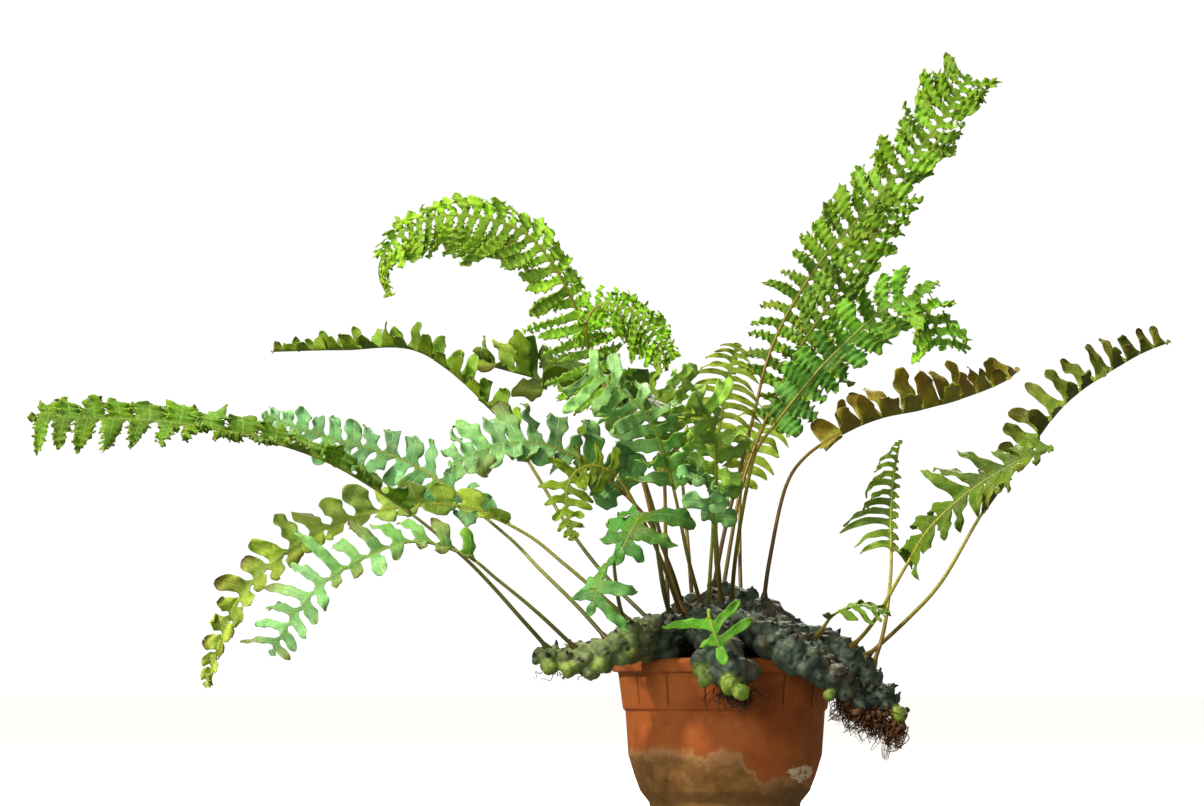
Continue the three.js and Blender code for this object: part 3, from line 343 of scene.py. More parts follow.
class Gather:
    """Collects the parts of one mesh: points, faces, material numbers and point values."""

    def __init__(self, *values):
        self.points, self.faces, self.slots = [], [], []
        self.values = {name: [] for name in values}
        self.count = 0

    def add(self, points, faces, slot=0, **values):
        self.faces += (np.asarray(faces) + self.count).tolist()
        self.points.append(points)
        self.slots += [slot] * len(faces)
        for name, kept in self.values.items():
            width = 4 if name == "leaf_colour" else 1
            kept.append(np.broadcast_to(np.reshape(values.get(name, 0), (-1, width)), (len(points), width)))
        self.count += len(points)

    def piece(self, name, *materials):
        mesh = bpy.data.meshes.new(name)
        mesh.from_pydata((np.concatenate(self.points) * MM).tolist(), [], self.faces)
        mesh.polygons.foreach_set("material_index", self.slots)
        for value, rows in self.values.items():
            mark(mesh, value, np.concatenate(rows))
        for material in materials:
            mesh.materials.append(material)
        made = bpy.data.objects.new(name, mesh)
        shade_smooth(made)
        bpy.context.scene.collection.objects.link(made)
        return made


def ring_faces(rings, sides):
    """Quads between rings of points, each joined round."""
    i, k = np.meshgrid(np.arange(rings - 1), np.arange(sides), indexing="ij")
    a = (i * sides + k).ravel()
    b = (i * sides + (k + 1) % sides).ravel()
    return np.column_stack([a, b, b + sides, a + sides])


def tube(line, radii, sides):
    """Points and faces of a tube along a line, drawn in to a small hole at both ends."""
    side = np.array([0.31, 0.87, 0.38])
    rings = []
    angle = np.arange(sides) / sides * TAU
    for centre, way, radius in zip(line, unit(np.gradient(line, axis=0)), radii):
        side = unit(side - side.dot(way) * way)
        up = np.cross(way, side)
        rings.append(centre + radius * (np.outer(np.cos(angle), side) + np.outer(np.sin(angle), up)))
    rings.insert(0, line[0] + (rings[0] - line[0]) * 0.05)
    rings.append(line[-1] + (rings[-1] - line[-1]) * 0.05)
    return np.concatenate(rings), ring_faces(len(rings), sides)


# Materials

NOISE = "ShaderNodeTexNoise"
RAMP = "ShaderNodeValToRGB"
BLEND = "ShaderNodeMix"
MATHS = "ShaderNodeMath"
SPREAD = "ShaderNodeMapRange"
VALUE = "ShaderNodeAttribute"
OVER = dict(out=2, data_type="RGBA")


def add_node(tree, kind, links=None, stops=(), out=0, **settings):
    """Adds a node with its properties, its inputs set or linked, and its ramp stops, and gives one output."""
    node = tree.nodes.new(kind)
    for name, value in settings.items():
        setattr(node, name, value)
    for name, value in (links or {}).items():
        if isinstance(value, bpy.types.NodeSocket):
            tree.links.new(value, node.inputs[name])
        else:
            node.inputs[name].default_value = rgba(value) if isinstance(value, str) else value
    for number, (place, colour) in enumerate(stops):
        band = node.color_ramp.elements
        element = band[number] if number < len(band) else band.new(place)
        element.position = place
        element.color = rgba(colour) if isinstance(colour, str) else (colour, colour, colour, 1)
    return node.outputs[out] if node.outputs else node


def new_material(name, paint, *details):
    """A material. paint takes the function that adds its nodes, and Object coordinates. It gives the inputs of
    the surface, and the height, depth in millimetres and strength of its relief."""
    material = bpy.data.materials.new(name)
    material.use_nodes = True
    material.node_tree.nodes.clear()
    node = functools.partial(add_node, material.node_tree)
    surface, relief = paint(node, node("ShaderNodeTexCoord", out="Object"), *details)
    if relief:
        height, depth, strength = relief
        surface["Normal"] = node("ShaderNodeBump", {"Height": height, "Distance": depth * MM, "Strength": strength})
    node("ShaderNodeOutputMaterial", {"Surface": node("ShaderNodeBsdfPrincipled", surface)})
    return material


def fern_leaf(node, place, vein):
    """Living fern blade: a thin waxy skin over green cells. It is softly glossy, and light shines through it.
    Its veins are sunk lines 0.3 mm wide, and the skin is mottled over a few millimetres."""
    colour = node(VALUE, attribute_name="leaf_colour", out="Color")
    across, along = (node(VALUE, attribute_name=name, out="Fac") for name in ("lobe_across", "lobe_along"))
    side = node(MATHS, {0: across}, operation="ABSOLUTE")
    lean = node(MATHS, {0: side, 1: -0.9}, operation="MULTIPLY")
    slant = node(MATHS, {0: along, 1: 6.5, 2: lean}, operation="MULTIPLY_ADD")
    line = node(MATHS, {0: slant, 1: 0.5}, operation="PINGPONG")
    rib, small = (node(RAMP, {0: away}, ((0, most), (0.09, 0))) for away, most in ((side, 1), (line, 0.5)))
    veins = node(MATHS, {0: rib, 1: small}, operation="MAXIMUM")
    mottle, patch = (node(NOISE, {"Vector": place, "Scale": 1 / (size * MM), "Detail": detail})
                     for size, detail in ((5, 3), (20, 2)))
    dark, yellow = (node(RAMP, {0: noise}, ((low, 0), (0.7, most)))
                    for noise, low, most in ((mottle, 0.35, 0.3), (patch, 0.45, 0.2)))
    shown = node(MATHS, {0: veins, 1: 0.3}, operation="MULTIPLY")
    for share, over, kind in ((dark, "#3f5a1a", "MULTIPLY"), (yellow, "#94ae20", "MIX"), (shown, vein, "MIX")):
        colour = node(BLEND, {0: share, 6: colour, 7: over}, **OVER, blend_type=kind)
    rough = node(SPREAD, {"Value": mottle, "To Min": 0.36, "To Max": 0.56})
    height = node(MATHS, {0: veins, 1: -0.8, 2: mottle}, operation="MULTIPLY_ADD")
    return {"Base Color": colour, "Roughness": rough, "IOR": 1.42, "Specular IOR Level": 0.3,
            "Subsurface Weight": 0.2, "Subsurface Radius": (0.5, 1.0, 0.2),
            "Subsurface Scale": 1.6 * MM}, (height, 0.8, 0.6)


def leaf_rib(node, place):
    """Midrib and stipe of a fern: hard smooth rind, dark where it is old and greener towards the blade, with
    fine flecks. It is polished like a fingernail."""
    colour = node(VALUE, attribute_name="leaf_colour", out="Color")
    speck = node(NOISE, {"Vector": place, "Scale": 1 / (1.6 * MM), "Detail": 3})
    flecks = node(RAMP, {0: speck}, ((0.4, 0), (0.7, 0.45)))
    worn = node(BLEND, {0: flecks, 6: colour, 7: "#33230f"}, **OVER)
    return {"Base Color": worn, "Roughness": 0.38}, (speck, 0.25, 0.5)


def spore_bead(node, place):
    """Spore cases in cups at the leaf margin: tiny waxy beads, yellow-green and brown where ripe."""
    ripe = node(VALUE, attribute_name="lobe_draw", out="Fac")
    colour = node(RAMP, {0: ripe}, ((0, "#a9c43a"), (0.55, "#8fae30"), (0.85, "#7a7a22"), (1, "#5d431c")))
    grain = node(NOISE, {"Vector": place, "Scale": 1 / (0.4 * MM)})
    return {"Base Color": colour, "Roughness": 0.5}, (grain, 0.15, 0.5)


def terracotta(node, place):
    """Fired clay, turned and left unglazed: matt and slightly chalky, with grain under 1 mm. Soil splash and
    algae cover its lower part up to a wandering tide line, it is darker in patches towards its foot, salt blooms
    in one patch, there are a few dark specks, and the grooves are darkened as painted shade."""
    height, across = (node("ShaderNodeSeparateXYZ", {"Vector": place}, out=axis) for axis in "ZX")
    broad, blotch, grain = (
        node(NOISE, {"Vector": place, "Scale": 1 / (size * MM), "Detail": 4, "Roughness": rough})
        for size, rough in ((46, 0.6), (14, 0.6), (1.2, 0.65)))
    fired, dusty, crumbs, foot_patches = (
        node(RAMP, {0: noise}, ((low, least), (high, most)))
        for noise, low, least, high, most in ((blotch, 0.42, 0, 0.66, 0.35), (grain, 0.5, 0, 0.78, 0.25),
                                              (grain, 0.45, 0, 0.7, 0.4), (blotch, 0.3, 0.3, 0.6, 1)))
    # The tide line lies 54 mm up on the left and 27 mm on the right, and wanders by 8 mm
    line = node(SPREAD, {"Value": across, "From Min": 0.008, "From Max": 0.034, "To Min": 0.054,
                         "To Max": 0.027}, interpolation_type="SMOOTHSTEP")
    for part, size in ((broad, 0.04), (blotch, 0.03), (grain, 0.012)):
        part = node(MATHS, {0: part, 1: 0.5}, operation="SUBTRACT")
        line = node(MATHS, {0: part, 1: size, 2: line}, operation="MULTIPLY_ADD")
    below = node(MATHS, {0: line, 1: height}, operation="SUBTRACT")
    edge = node(MATHS, {0: below, 1: 0.004}, operation="SUBTRACT")
    edge = node(MATHS, {0: edge}, operation="ABSOLUTE")
    # Salt bloom about 30 mm across on the right of the front
    spot = node("ShaderNodeMapping", {"Vector": place, "Location": (-0.068, 0.0154, -0.065),
                                      "Scale": (1, 0.35, 1.85)})
    away = node("ShaderNodeVectorMath", {0: spot}, out="Value", operation="LENGTH")
    streak = node("ShaderNodeMapping", {"Vector": place, "Scale": (0.7, 0.7, 2.2)})
    flour = node(NOISE, {"Vector": streak, "Scale": 1 / (9 * MM), "Detail": 5, "Roughness": 0.75})
    specks = node("ShaderNodeTexVoronoi", {"Vector": place, "Scale": 1 / (24 * MM)}, out="Distance")
    splash, tide, darker_foot, near, dots = (
        node(SPREAD, {"Value": value, "From Min": low, "From Max": high, "To Max": most})
        for value, low, high, most in ((below, -0.002, 0.007, 0.86), (edge, 0.006, 0, 0.5),
                                       (height, 0.03, 0.002, 0.5), (away, 0.026, 0.008, 0.42),
                                       (specks, 0.05, 0.035, 0.8)))
    salt = node(MATHS, {0: near, 1: flour})
    salt = node(SPREAD, {"Value": salt, "From Min": 0.84, "From Max": 0.92, "To Max": 0.9})
    # Painted shade: the grooves between the panels are darkened towards a deep clay brown.
    groove = node(VALUE, attribute_name="groove", out="Fac")
    # The pot is painted darker in patches towards its foot, over its lowest 30 mm.
    darker_foot, groove = (node(MATHS, {0: value, 1: share}, operation="MULTIPLY")
                    for value, share in ((darker_foot, foot_patches), (groove, 0.72)))
    dirt = node(RAMP, {0: blotch}, ((0.3, "#644824"), (0.5, "#80623a"), (0.7, "#a07c4c")))
    dirt = node(BLEND, {0: crumbs, 6: dirt, 7: "#54401e"}, **OVER)
    colour = node(RAMP, {0: broad}, ((0.3, "#904a22"), (0.5, "#a4592b"), (0.72, "#b46a38")))
    for share, over in ((fired, "#84401c"), (dusty, "#cc8450"), (splash, dirt), (tide, "#c49870"),
                        (darker_foot, "#5c4222"), (salt, "#ece0c8"), (dots, "#33200f"), (groove, "#56290f")):
        colour = node(BLEND, {0: share, 6: colour, 7: over}, **OVER)
    rough = node(SPREAD, {"Value": blotch, "To Min": 0.6, "To Max": 0.9})
    relief = node(MATHS, {0: blotch, 1: 1.5, 2: grain}, operation="MULTIPLY_ADD")
    return {"Base Color": colour, "Roughness": rough, "Specular IOR Level": 0.2}, (relief, 0.35, 0.6)


def potting_soil(node, place):
    """Damp potting soil: dark crumbs of 1 to 3 mm, matt, with lighter fibres."""
    crumb = node(NOISE, {"Vector": place, "Scale": 1 / (2.2 * MM), "Detail": 5, "Roughness": 0.7})
    colour = node(RAMP, {0: crumb}, ((0.3, "#17100a"), (0.52, "#2f2216"), (0.72, "#4c3a26")))
    return {"Base Color": colour, "Roughness": 0.95}, (crumb, 1.6, 0.9)


def rhizome_skin(node, place):
    """Living rhizome: swollen, hairless and waxy, dark blue-grey with some bloom on the crowns of its lumps that is
    partly its own waxy bloom and partly a painted highlight, brown in broad patches, painted near black in the
    hollows between the lumps as painted shade, near black on its spikes, and yellow-green where it grows."""
    crown, young, pale, spike = (node(VALUE, attribute_name=name, out="Fac")
                                 for name in ("crown", "young", "pale", "spike"))
    blotch, grain, broad = (
        node(NOISE, {"Vector": place, "Scale": 1 / (size * MM), "Detail": detail, "Roughness": rough})
        for size, detail, rough in ((9, 4, 0.6), (1.5, 4, 0.65), (30, 2, 0.5)))
    colour, left, green = (
        node(RAMP, {0: blotch}, ((0.3, dark), (0.5, middle), (high, light)))
        for dark, middle, high, light in (("#161f1c", "#2c3a34", 0.68, "#4c5e4e"),
                                          ("#4a5c2c", "#6c8040", 0.7, "#8ea060"),
                                          ("#62841c", "#84a430", 0.7, "#a8c454")))
    brown, specks, fresh = (
        node(RAMP, {0: noise}, ((low, least), (high, most)))
        for noise, low, least, high, most in ((broad, 0.5, 0, 0.62, 0.55), (grain, 0.48, 0, 0.7, 0.4),
                                              (blotch, 0.34, 0.5, 0.5, 1)))
    # The crowns of the lumps are painted lighter: partly the skin's waxy bloom, partly a painted highlight.
    bloom, grown = (node(MATHS, {0: value, 1: share}, operation="MULTIPLY")
                    for value, share in ((crown, 0.22), (young, fresh)))
    # Painted shade: the hollows between the lumps are darkened to near black.
    crevice_shade = node(SPREAD, {"Value": crown, "From Min": 0.75, "From Max": 0.0, "To Max": 0.92})
    for share, over in ((pale, left), (bloom, "#5a766c"), (brown, "#4e3c26"), (specks, "#1d2420"),
                        (crevice_shade, "#100f0a"), (grown, green), (spike, "#141510")):
        colour = node(BLEND, {0: share, 6: colour, 7: over}, **OVER)
    rough = node(SPREAD, {"Value": grain, "To Min": 0.42, "To Max": 0.66})
    relief = node(MATHS, {0: blotch, 1: 2.2, 2: grain}, operation="MULTIPLY_ADD")
    return {"Base Color": colour, "Roughness": rough}, (relief, 0.5, 0.6)


def dry_root(node, place, dark, light):
    """Air roots: wiry, matt and fibrous, dead brown with paler worn ends."""
    grain = node(NOISE, {"Vector": place, "Scale": 1 / (3 * MM), "Detail": 3})
    colour = node(RAMP, {0: grain}, ((0.35, dark), (0.68, light)))
    fibre = node(NOISE, {"Vector": place, "Scale": 1 / (0.6 * MM)})
    return {"Base Color": colour, "Roughness": 0.85}, (fibre, 0.2, 0.7)


CLAY = new_material("terracotta_unglazed", terracotta)
SOIL = new_material("potting_soil", potting_soil)
SKIN = new_material("rhizome_skin_waxy", rhizome_skin)
ROOT_BROWN = new_material("root_fibre_brown", dry_root, "#24150a", "#7a5030")
ROOT_DARK = new_material("root_fibre_dark", dry_root, "#15100a", "#3a2818")
RIND = new_material("stipe_rind", leaf_rib)
BEAD = new_material("spore_case", spore_bead)
LEAF = {slot: new_material(f"fern_leaf_{kind}", fern_leaf, vein)
        for slot, kind, vein in ((BRIGHT, "bright", "#a8cc5c"), (BLUE, "glaucous", "#b4dcae"),
                                 (DARK, "dark", "#8fae58"), (OLIVE, "olive", "#8a7a34"))}


# Modelling by hand

def nothing_selected():
    bpy.ops.object.select_all(action="DESELECT")


def take(thing):
    """Makes this object the only one selected, and the active one."""
    nothing_selected()
    thing.select_set(True)
    bpy.context.view_layer.objects.active = thing


def ball(subdivisions):
    """Points and faces of a ball of radius 1."""
    nothing_selected()
    bpy.ops.mesh.primitive_ico_sphere_add(subdivisions=subdivisions, radius=1)
    made = bpy.context.active_object
    shape = np.array([v.co for v in made.data.vertices])
    faces = [list(p.vertices) for p in made.data.polygons]
    bpy.data.objects.remove(made)
    return shape, faces


def points_of(piece):
    return np.array([v.co for v in piece.data.vertices]) / MM


def move_points(piece, points):
    piece.data.vertices.foreach_set("co", (points * MM).ravel())


def turned(name, profile, angles):
    """Turns a profile as on a wheel: a filled disc at its first point, drawn up ring by ring through the
    others, and closed at its last. The ring's points lie at the given angles."""
    nothing_selected()
    last_r, last_z = profile[0]
    bpy.ops.mesh.primitive_circle_add(vertices=len(angles), radius=1, fill_type="NGON", location=(0, 0, 0))
    piece = bpy.context.active_object
    piece.name = name
    for vertex, angle in zip(piece.data.vertices, angles):
        vertex.co = (math.cos(angle) * last_r * MM, math.sin(angle) * last_r * MM, last_z * MM)
    bpy.ops.object.mode_set(mode="EDIT")
    bpy.ops.mesh.select_all(action="SELECT")
    for r, z in profile[1:]:
        bpy.ops.mesh.extrude_region_move(TRANSFORM_OT_translate={"value": (0, 0, (z - last_z) * MM)})
        bpy.ops.transform.resize(value=(r / last_r, r / last_r, 1), center_override=(0, 0, z * MM))
        last_r, last_z = r, z
    bpy.ops.mesh.select_all(action="SELECT")
    bpy.ops.mesh.normals_make_consistent(inside=False)
    bpy.ops.object.mode_set(mode="OBJECT")
    return piece


def rounded(profile, radius, steps=4):
    """A profile with its corners rounded by an arc of about this radius."""
    out = [profile[0]]
    for corner in zip(profile, profile[1:], profile[2:]):
        a, b, c = (np.array(p, float) for p in corner)
        start, end = (b + unit(p - b) * min(radius, np.linalg.norm(p - b) * 0.45) for p in (a, c))
        out += [tuple((1 - t) ** 2 * start + 2 * t * (1 - t) * b + t * t * end) for t in np.linspace(0, 1, steps)]
    return [*out, profile[-1]]


def with_rings(profile, step):
    """A profile with more points, so that no two are much further apart than the step."""
    out = [profile[0]]
    for a, b in zip(profile, profile[1:]):
        count = max(1, int(math.dist(a, b) / step))
        out += [tuple(np.array(a) + np.subtract(b, a) * (k + 1) / count) for k in range(count)]
    return out


def finish_piece(piece, nodes, materials=()):
    """Gives a piece its materials and body, and hides the nodes that it stands for."""
    for material in materials:
        piece.data.materials.append(material)
    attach(piece, "root")
    if nodes:
        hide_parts(*nodes)


# Pot

def pot_profiles():
    """The pot's outside from the foot up, and its inside from the rim down."""
    lip_low = RIM_TOP - LIP_HEIGHT
    collar_low = lip_low - COLLAR_HEIGHT
    outer = [(HUB_R, 0), (FOOT_R, 0), (FOOT_R + 1, FOOT_HEIGHT), (FOOT_R + 9, FOOT_HEIGHT + 10),
             (BELLY_R - 8, FOOT_HEIGHT + 25), (BELLY_R - 3, FOOT_HEIGHT + 42), (BELLY_R - 0.4, collar_low - 2.4),
             (COLLAR_LOW_R - 0.6, collar_low - 1.2), (COLLAR_LOW_R, collar_low + 1.6), (COLLAR_TOP_R, lip_low - 1.2),
             (COLLAR_TOP_R + 0.6, lip_low), (RIM_R - 0.5, lip_low), (RIM_R, RIM_TOP - 3), (RIM_R - 2.5, RIM_TOP)]
    inner = [(RIM_R - 9, RIM_TOP), (RIM_R - 11, RIM_TOP - 4), (COLLAR_LOW_R - WALL, collar_low),
             (BELLY_R - 3 - WALL, FOOT_HEIGHT + 42), (FOOT_R + 9 - WALL, FOOT_HEIGHT + 14),
             (FOOT_R - WALL, FOOT_HEIGHT), (HUB_R, FOOT_HEIGHT)]
    return outer, inner


def make_pot():
    """Pot: 16 panels on its collar, with the ring's points gathered at the grooves between them."""
    outer, inner = pot_profiles()
    profile = with_rings(rounded(outer + inner, 1.6), 5)
    panel = TAU / PANELS
    near = GROOVE_WIDTH / COLLAR_TOP_R
    inside = np.linspace(-near, near, 7)
    outside = np.linspace(near, panel - near, 8)[1:-1]
    angles = [panel * (k + 0.5) + offset for k in range(PANELS) for offset in (*inside, *outside)]
    pot = turned("pot_turned", profile, angles)
    co = points_of(pot)
    x, y, z = co.T
    radius = np.hypot(x, y)
    angle = np.arctan2(y, x)
    off = np.abs((angle / panel) % 1 - 0.5) * panel * radius
    high = RIM_TOP - LIP_HEIGHT
    low = high - COLLAR_HEIGHT
    depth = np.exp(-(off / (GROOVE_WIDTH * 0.36)) ** 2)
    depth *= ease(low + 0.5, low + 3, z) * (1 - ease(high - 3, high - 0.5, z))
    depth *= radius > COLLAR_LOW_R - WALL * 0.5
    wobble = 1 + 0.0022 * np.sin(angle * 3 + z * 0.02) + 0.0012 * np.sin(angle * 7 + 1.7)
    co[:, :2] *= (wobble * (1 - depth * GROOVE_DEPTH / np.maximum(radius, 1)))[:, None]
    move_points(pot, co)
    mark(pot.data, "groove", depth)
    take(pot)
    bpy.ops.object.shade_smooth_by_angle(angle=math.radians(50))
    finish_piece(pot, ["pot"], [CLAY])


# Soil

def soil_swell(x, y):
    return 1.6 * np.sin(x * 0.13) * np.cos(y * 0.17) + 1.1 * np.sin(x * 0.31 + y * 0.23)


def make_soil():
    """Soil: fills the pot and heaves up in the middle, with crumbs lying on it."""
    rng = np.random.default_rng(4)
    _, inner = pot_profiles()
    wall = [(max(r - GAP, HUB_R), z + GAP) for r, z in inner[2:]][::-1]
    edge = COLLAR_LOW_R - WALL + 3.3
    top = [(edge * share, SOIL_EDGE + SOIL_DOME * math.cos(share * math.pi / 2))
           for share in np.linspace(0.97, 0.03, 24)]
    soil = turned("soil_fill", [*wall, (edge, SOIL_EDGE), *top], np.linspace(0, TAU, 97)[:-1])
    co = points_of(soil)
    x, y, z = co.T
    fine = 0.7 * np.sin(x * 0.83 + 2 * np.sin(y * 0.31)) * np.cos(y * 0.71) + rng.normal(0, 0.25, len(x))
    co[:, 2] += ease(SOIL_EDGE - 1, SOIL_EDGE + 0.5, z) * (soil_swell(x, y) + fine)
    move_points(soil, co)
    crumbs = []
    for _ in range(SOIL_CRUMBS):
        r = edge * math.sqrt(rng.uniform(0, 0.97))
        a = rng.uniform(0, TAU)
        x, y = r * math.cos(a), r * math.sin(a)
        z = SOIL_EDGE + SOIL_DOME * math.cos(r / edge * math.pi / 2) + soil_swell(x, y)
        nothing_selected()
        bpy.ops.mesh.primitive_ico_sphere_add(subdivisions=1, radius=rng.uniform(0.8, 2.4) * MM,
                                              location=(x * MM, y * MM, z * MM), rotation=rng.uniform(0, 3, 3))
        crumb = bpy.context.active_object
        crumb.scale = rng.uniform(0.6, 1.3, 3)
        crumbs.append(crumb)
    take(soil)
    for crumb in crumbs:
        crumb.select_set(True)
    bpy.ops.object.join()
    finish_piece(soil, ["soil"], [SOIL])


# Rhizome

# Lumps between the two right branches, along a line of their own
FILLING = [(30, -40, 160, 15), (70, -70, 142, 14), (98, -82, 121, 14), (120, -81, 103, 12), (136, -80, 90, 9)]

# Lumps of the knob that hangs over the front of the rim, and of the seat of the left branch on the rim
KNOB = [(-72, -78, 144, 12), (-60, -66, 143, 13), (-50, -74, 141, 11), (-84, -88, 142, 12), (-46, -62, 146, 12),
        (-8, -126, 124, 12), (8, -127, 127, 13), (20, -122, 125, 10), (-22, -122, 134, 10), (0, -118, 138, 14)]

# Place and size of the swellings that still grow, and how green they are
YOUNG_TIPS = [(-155, -122, 129, 8, 0.6), (-137, -124, 126, 7.5, 0.7), (-110, -124, 130, 8, 0.6),
              (-84, -118, 144, 7, 0.5), (-58, -72, 156, 7, 0.6), (4, -134, 113, 10, 0.9), (12, -136, 107, 8, 1),
              (-22, -128, 126, 8, 0.7), (-20, -130, 117, 7, 0.6), (151, -80, 87, 8, 1), (90, -112, 104, 6, 0.6),
              (10, 46, 178, 9, 0.9)]


def thickness(points, share):
    """Radius at a share of a branch, from the last number of each of its points."""
    return np.interp(share * (len(points) - 1), range(len(points)), [p[3] for p in points])


def modified(piece, kind, **settings):
    """Adds a modifier to the piece that is taken, and applies it."""
    modifier = piece.modifiers.new(kind.lower(), kind)
    for name, value in settings.items():
        setattr(modifier, name, value)
    bpy.ops.object.modifier_apply(modifier=modifier.name)


def make_rhizome():
    """Rhizome: each branch is strung with lumps and small spikes, all drawn into one skin."""
    rng = np.random.default_rng(11)
    shape, faces = ball(2)
    body = Gather()
    lumps, spikes = [], []
    for points in (*BRANCHES.values(), FILLING):
        line, length = smooth_line([p[:3] for p in points])
        # The left branch arches over the rim
        line[:, 2] += 7 * np.exp(-((line[:, 0] + 84) / 20) ** 2) * (line[:, 1] < -40)
        along = unit(np.gradient(line, axis=0))
        count = int(length / LUMP_STEP)
        turn = rng.uniform(0, TAU)
        for k in range(count + 1):
            i = int(k / count * (len(line) - 1))
            centre, way = line[i], along[i]
            r = thickness(points, k / count) * (0.92 if 0 < k < count else 0.75)
            body.add(centre + shape * r * 0.8, faces)
            side = unit(np.cross(way, [0.2, 0.1, 1]))
            up = np.cross(side, way)
            for _ in range(4):
                turn += TAU * 0.382 + rng.normal(0, 0.25)
                out = unit(math.cos(turn) * side + math.sin(turn) * up + way * rng.uniform(-0.5, 0.5))
                size = r * rng.uniform(0.42, 0.82)
                spot = centre + out * (r * rng.uniform(1.16, 1.36) - size)
                body.add(spot + shape * size * [1, 1, rng.uniform(0.85, 1.1)], faces)
                lumps.append((*spot, size))
                for _ in range(2 if out[2] > -0.4 else 0):
                    out = unit(out + rng.normal(0, 0.35, 3))
                    foot = spot + out * size * 0.75
                    tall = rng.uniform(4.2, 7.4)
                    wide = rng.uniform(2.2, 3.2)
                    cone = np.array([foot, foot + out * tall * 0.4, foot + out * tall])
                    body.add(*tube(cone, wide * np.array([1.0, 0.62, 0.3]), 8))
                    spikes.append((*(foot + out * tall * 0.75), wide))
    for *spot, size in (*KNOB, *(tip[:4] for tip in YOUNG_TIPS)):
        body.add(spot + shape * size, faces)
        lumps.append((*spot, size))
    rhizome = body.piece("rhizome_body")
    take(rhizome)
    modified(rhizome, "REMESH", mode="VOXEL", voxel_size=SKIN_VOXEL * MM)
    modified(rhizome, "SMOOTH", factor=0.5, iterations=1)
    co = points_of(rhizome)
    x, y, z = co.T
    ripple = 0.5 * np.sin(x * 0.9 + 1.3 * np.sin(z * 0.6)) * np.sin(y * 0.8 + z * 0.7)
    ripple += 0.8 * np.sin(x * 0.35 + 1.1 * np.sin(y * 0.3)) * np.sin(z * 0.4 + y * 0.27)
    co += np.array([v.normal for v in rhizome.data.vertices]) * ripple[:, None]
    move_points(rhizome, co)
    mark(rhizome.data, "pale", 1 - ease(-80, -50, co[:, 0]))
    for value, spots, low, high in (("crown", lumps, 1.0, 1.45), ("young", YOUNG_TIPS, 0.85, 1.4),
                                    ("spike", spikes, 0.6, 1.3)):
        spots = np.array(spots)
        strength = spots[:, 4] if value == "young" else 1
        rows = []
        for start in range(0, len(co), POINTS_AT_ONCE):
            away = np.linalg.norm(co[start:start + POINTS_AT_ONCE, None] - spots[:, :3], axis=2) / spots[:, 3]
            rows.append(((1 - ease(low, high, away)) * strength).max(axis=1))
        mark(rhizome.data, value, np.concatenate(rows))
    shade_smooth(rhizome)
    finish_piece(rhizome, ["rhizome"], [SKIN])


# Roots

def fibres(name, paths, radius, material):
    """Wiry roots: curves with a round section, made a mesh."""
    data = bpy.data.curves.new(name, "CURVE")
    data.dimensions = "3D"
    data.bevel_depth = radius * MM
    data.bevel_resolution = 1
    data.use_fill_caps = True
    for path in paths:
        line, _ = smooth_line(path, 12)
        spline = data.splines.new("POLY")
        spline.points.add(len(line) - 1)
        for point, place, thin in zip(spline.points, line * MM, np.linspace(1.15, 0.35, len(line))):
            point.co = (*place, 1)
            point.radius = thin
    piece = bpy.data.objects.new(name, data)
    bpy.context.scene.collection.objects.link(piece)
    take(piece)
    bpy.ops.object.convert(target="MESH")
    piece = bpy.context.active_object
    shade_smooth(piece)
    piece.data.materials.append(material)
    return piece


def tangle(rng, knot, spread, drop, count):
    """Paths of roots that start about a knot, curl up on themselves, and hang."""
    paths = []
    for _ in range(count):
        start = np.array(knot) + rng.normal(0, 1, 3) * spread * 0.5
        way = rng.normal(0, 0.3, 3) * spread
        fall = rng.uniform(*drop)
        curl = rng.normal(0, 0.3, (3, 3)) * fall + rng.normal(0, 1.5, (3, 3))
        middle = [start + way * share + bow - [0, 0, fall * share] for share, bow in zip((0.3, 0.6, 0.85), curl)]
        paths.append([start, *middle, start + way - [0, 0, fall]])
    return paths


def clods(rng, knots, count):
    """Crumbs of dry soil that hang in the roots."""
    shape, faces = ball(2)
    crumbs = Gather()
    for _ in range(count):
        knot, spread = knots[rng.integers(len(knots))]
        size = rng.uniform(1.2, 4.2) * rng.uniform(0.7, 1.2, 3)
        lumpy = shape * (1 + 0.16 * np.sin(shape * 7 + rng.uniform(0, 6, 3)).sum(1, keepdims=True))
        crumbs.add(np.array(knot) + rng.normal(0, 0.5, 3) * spread + lumpy * size, faces)
    return crumbs


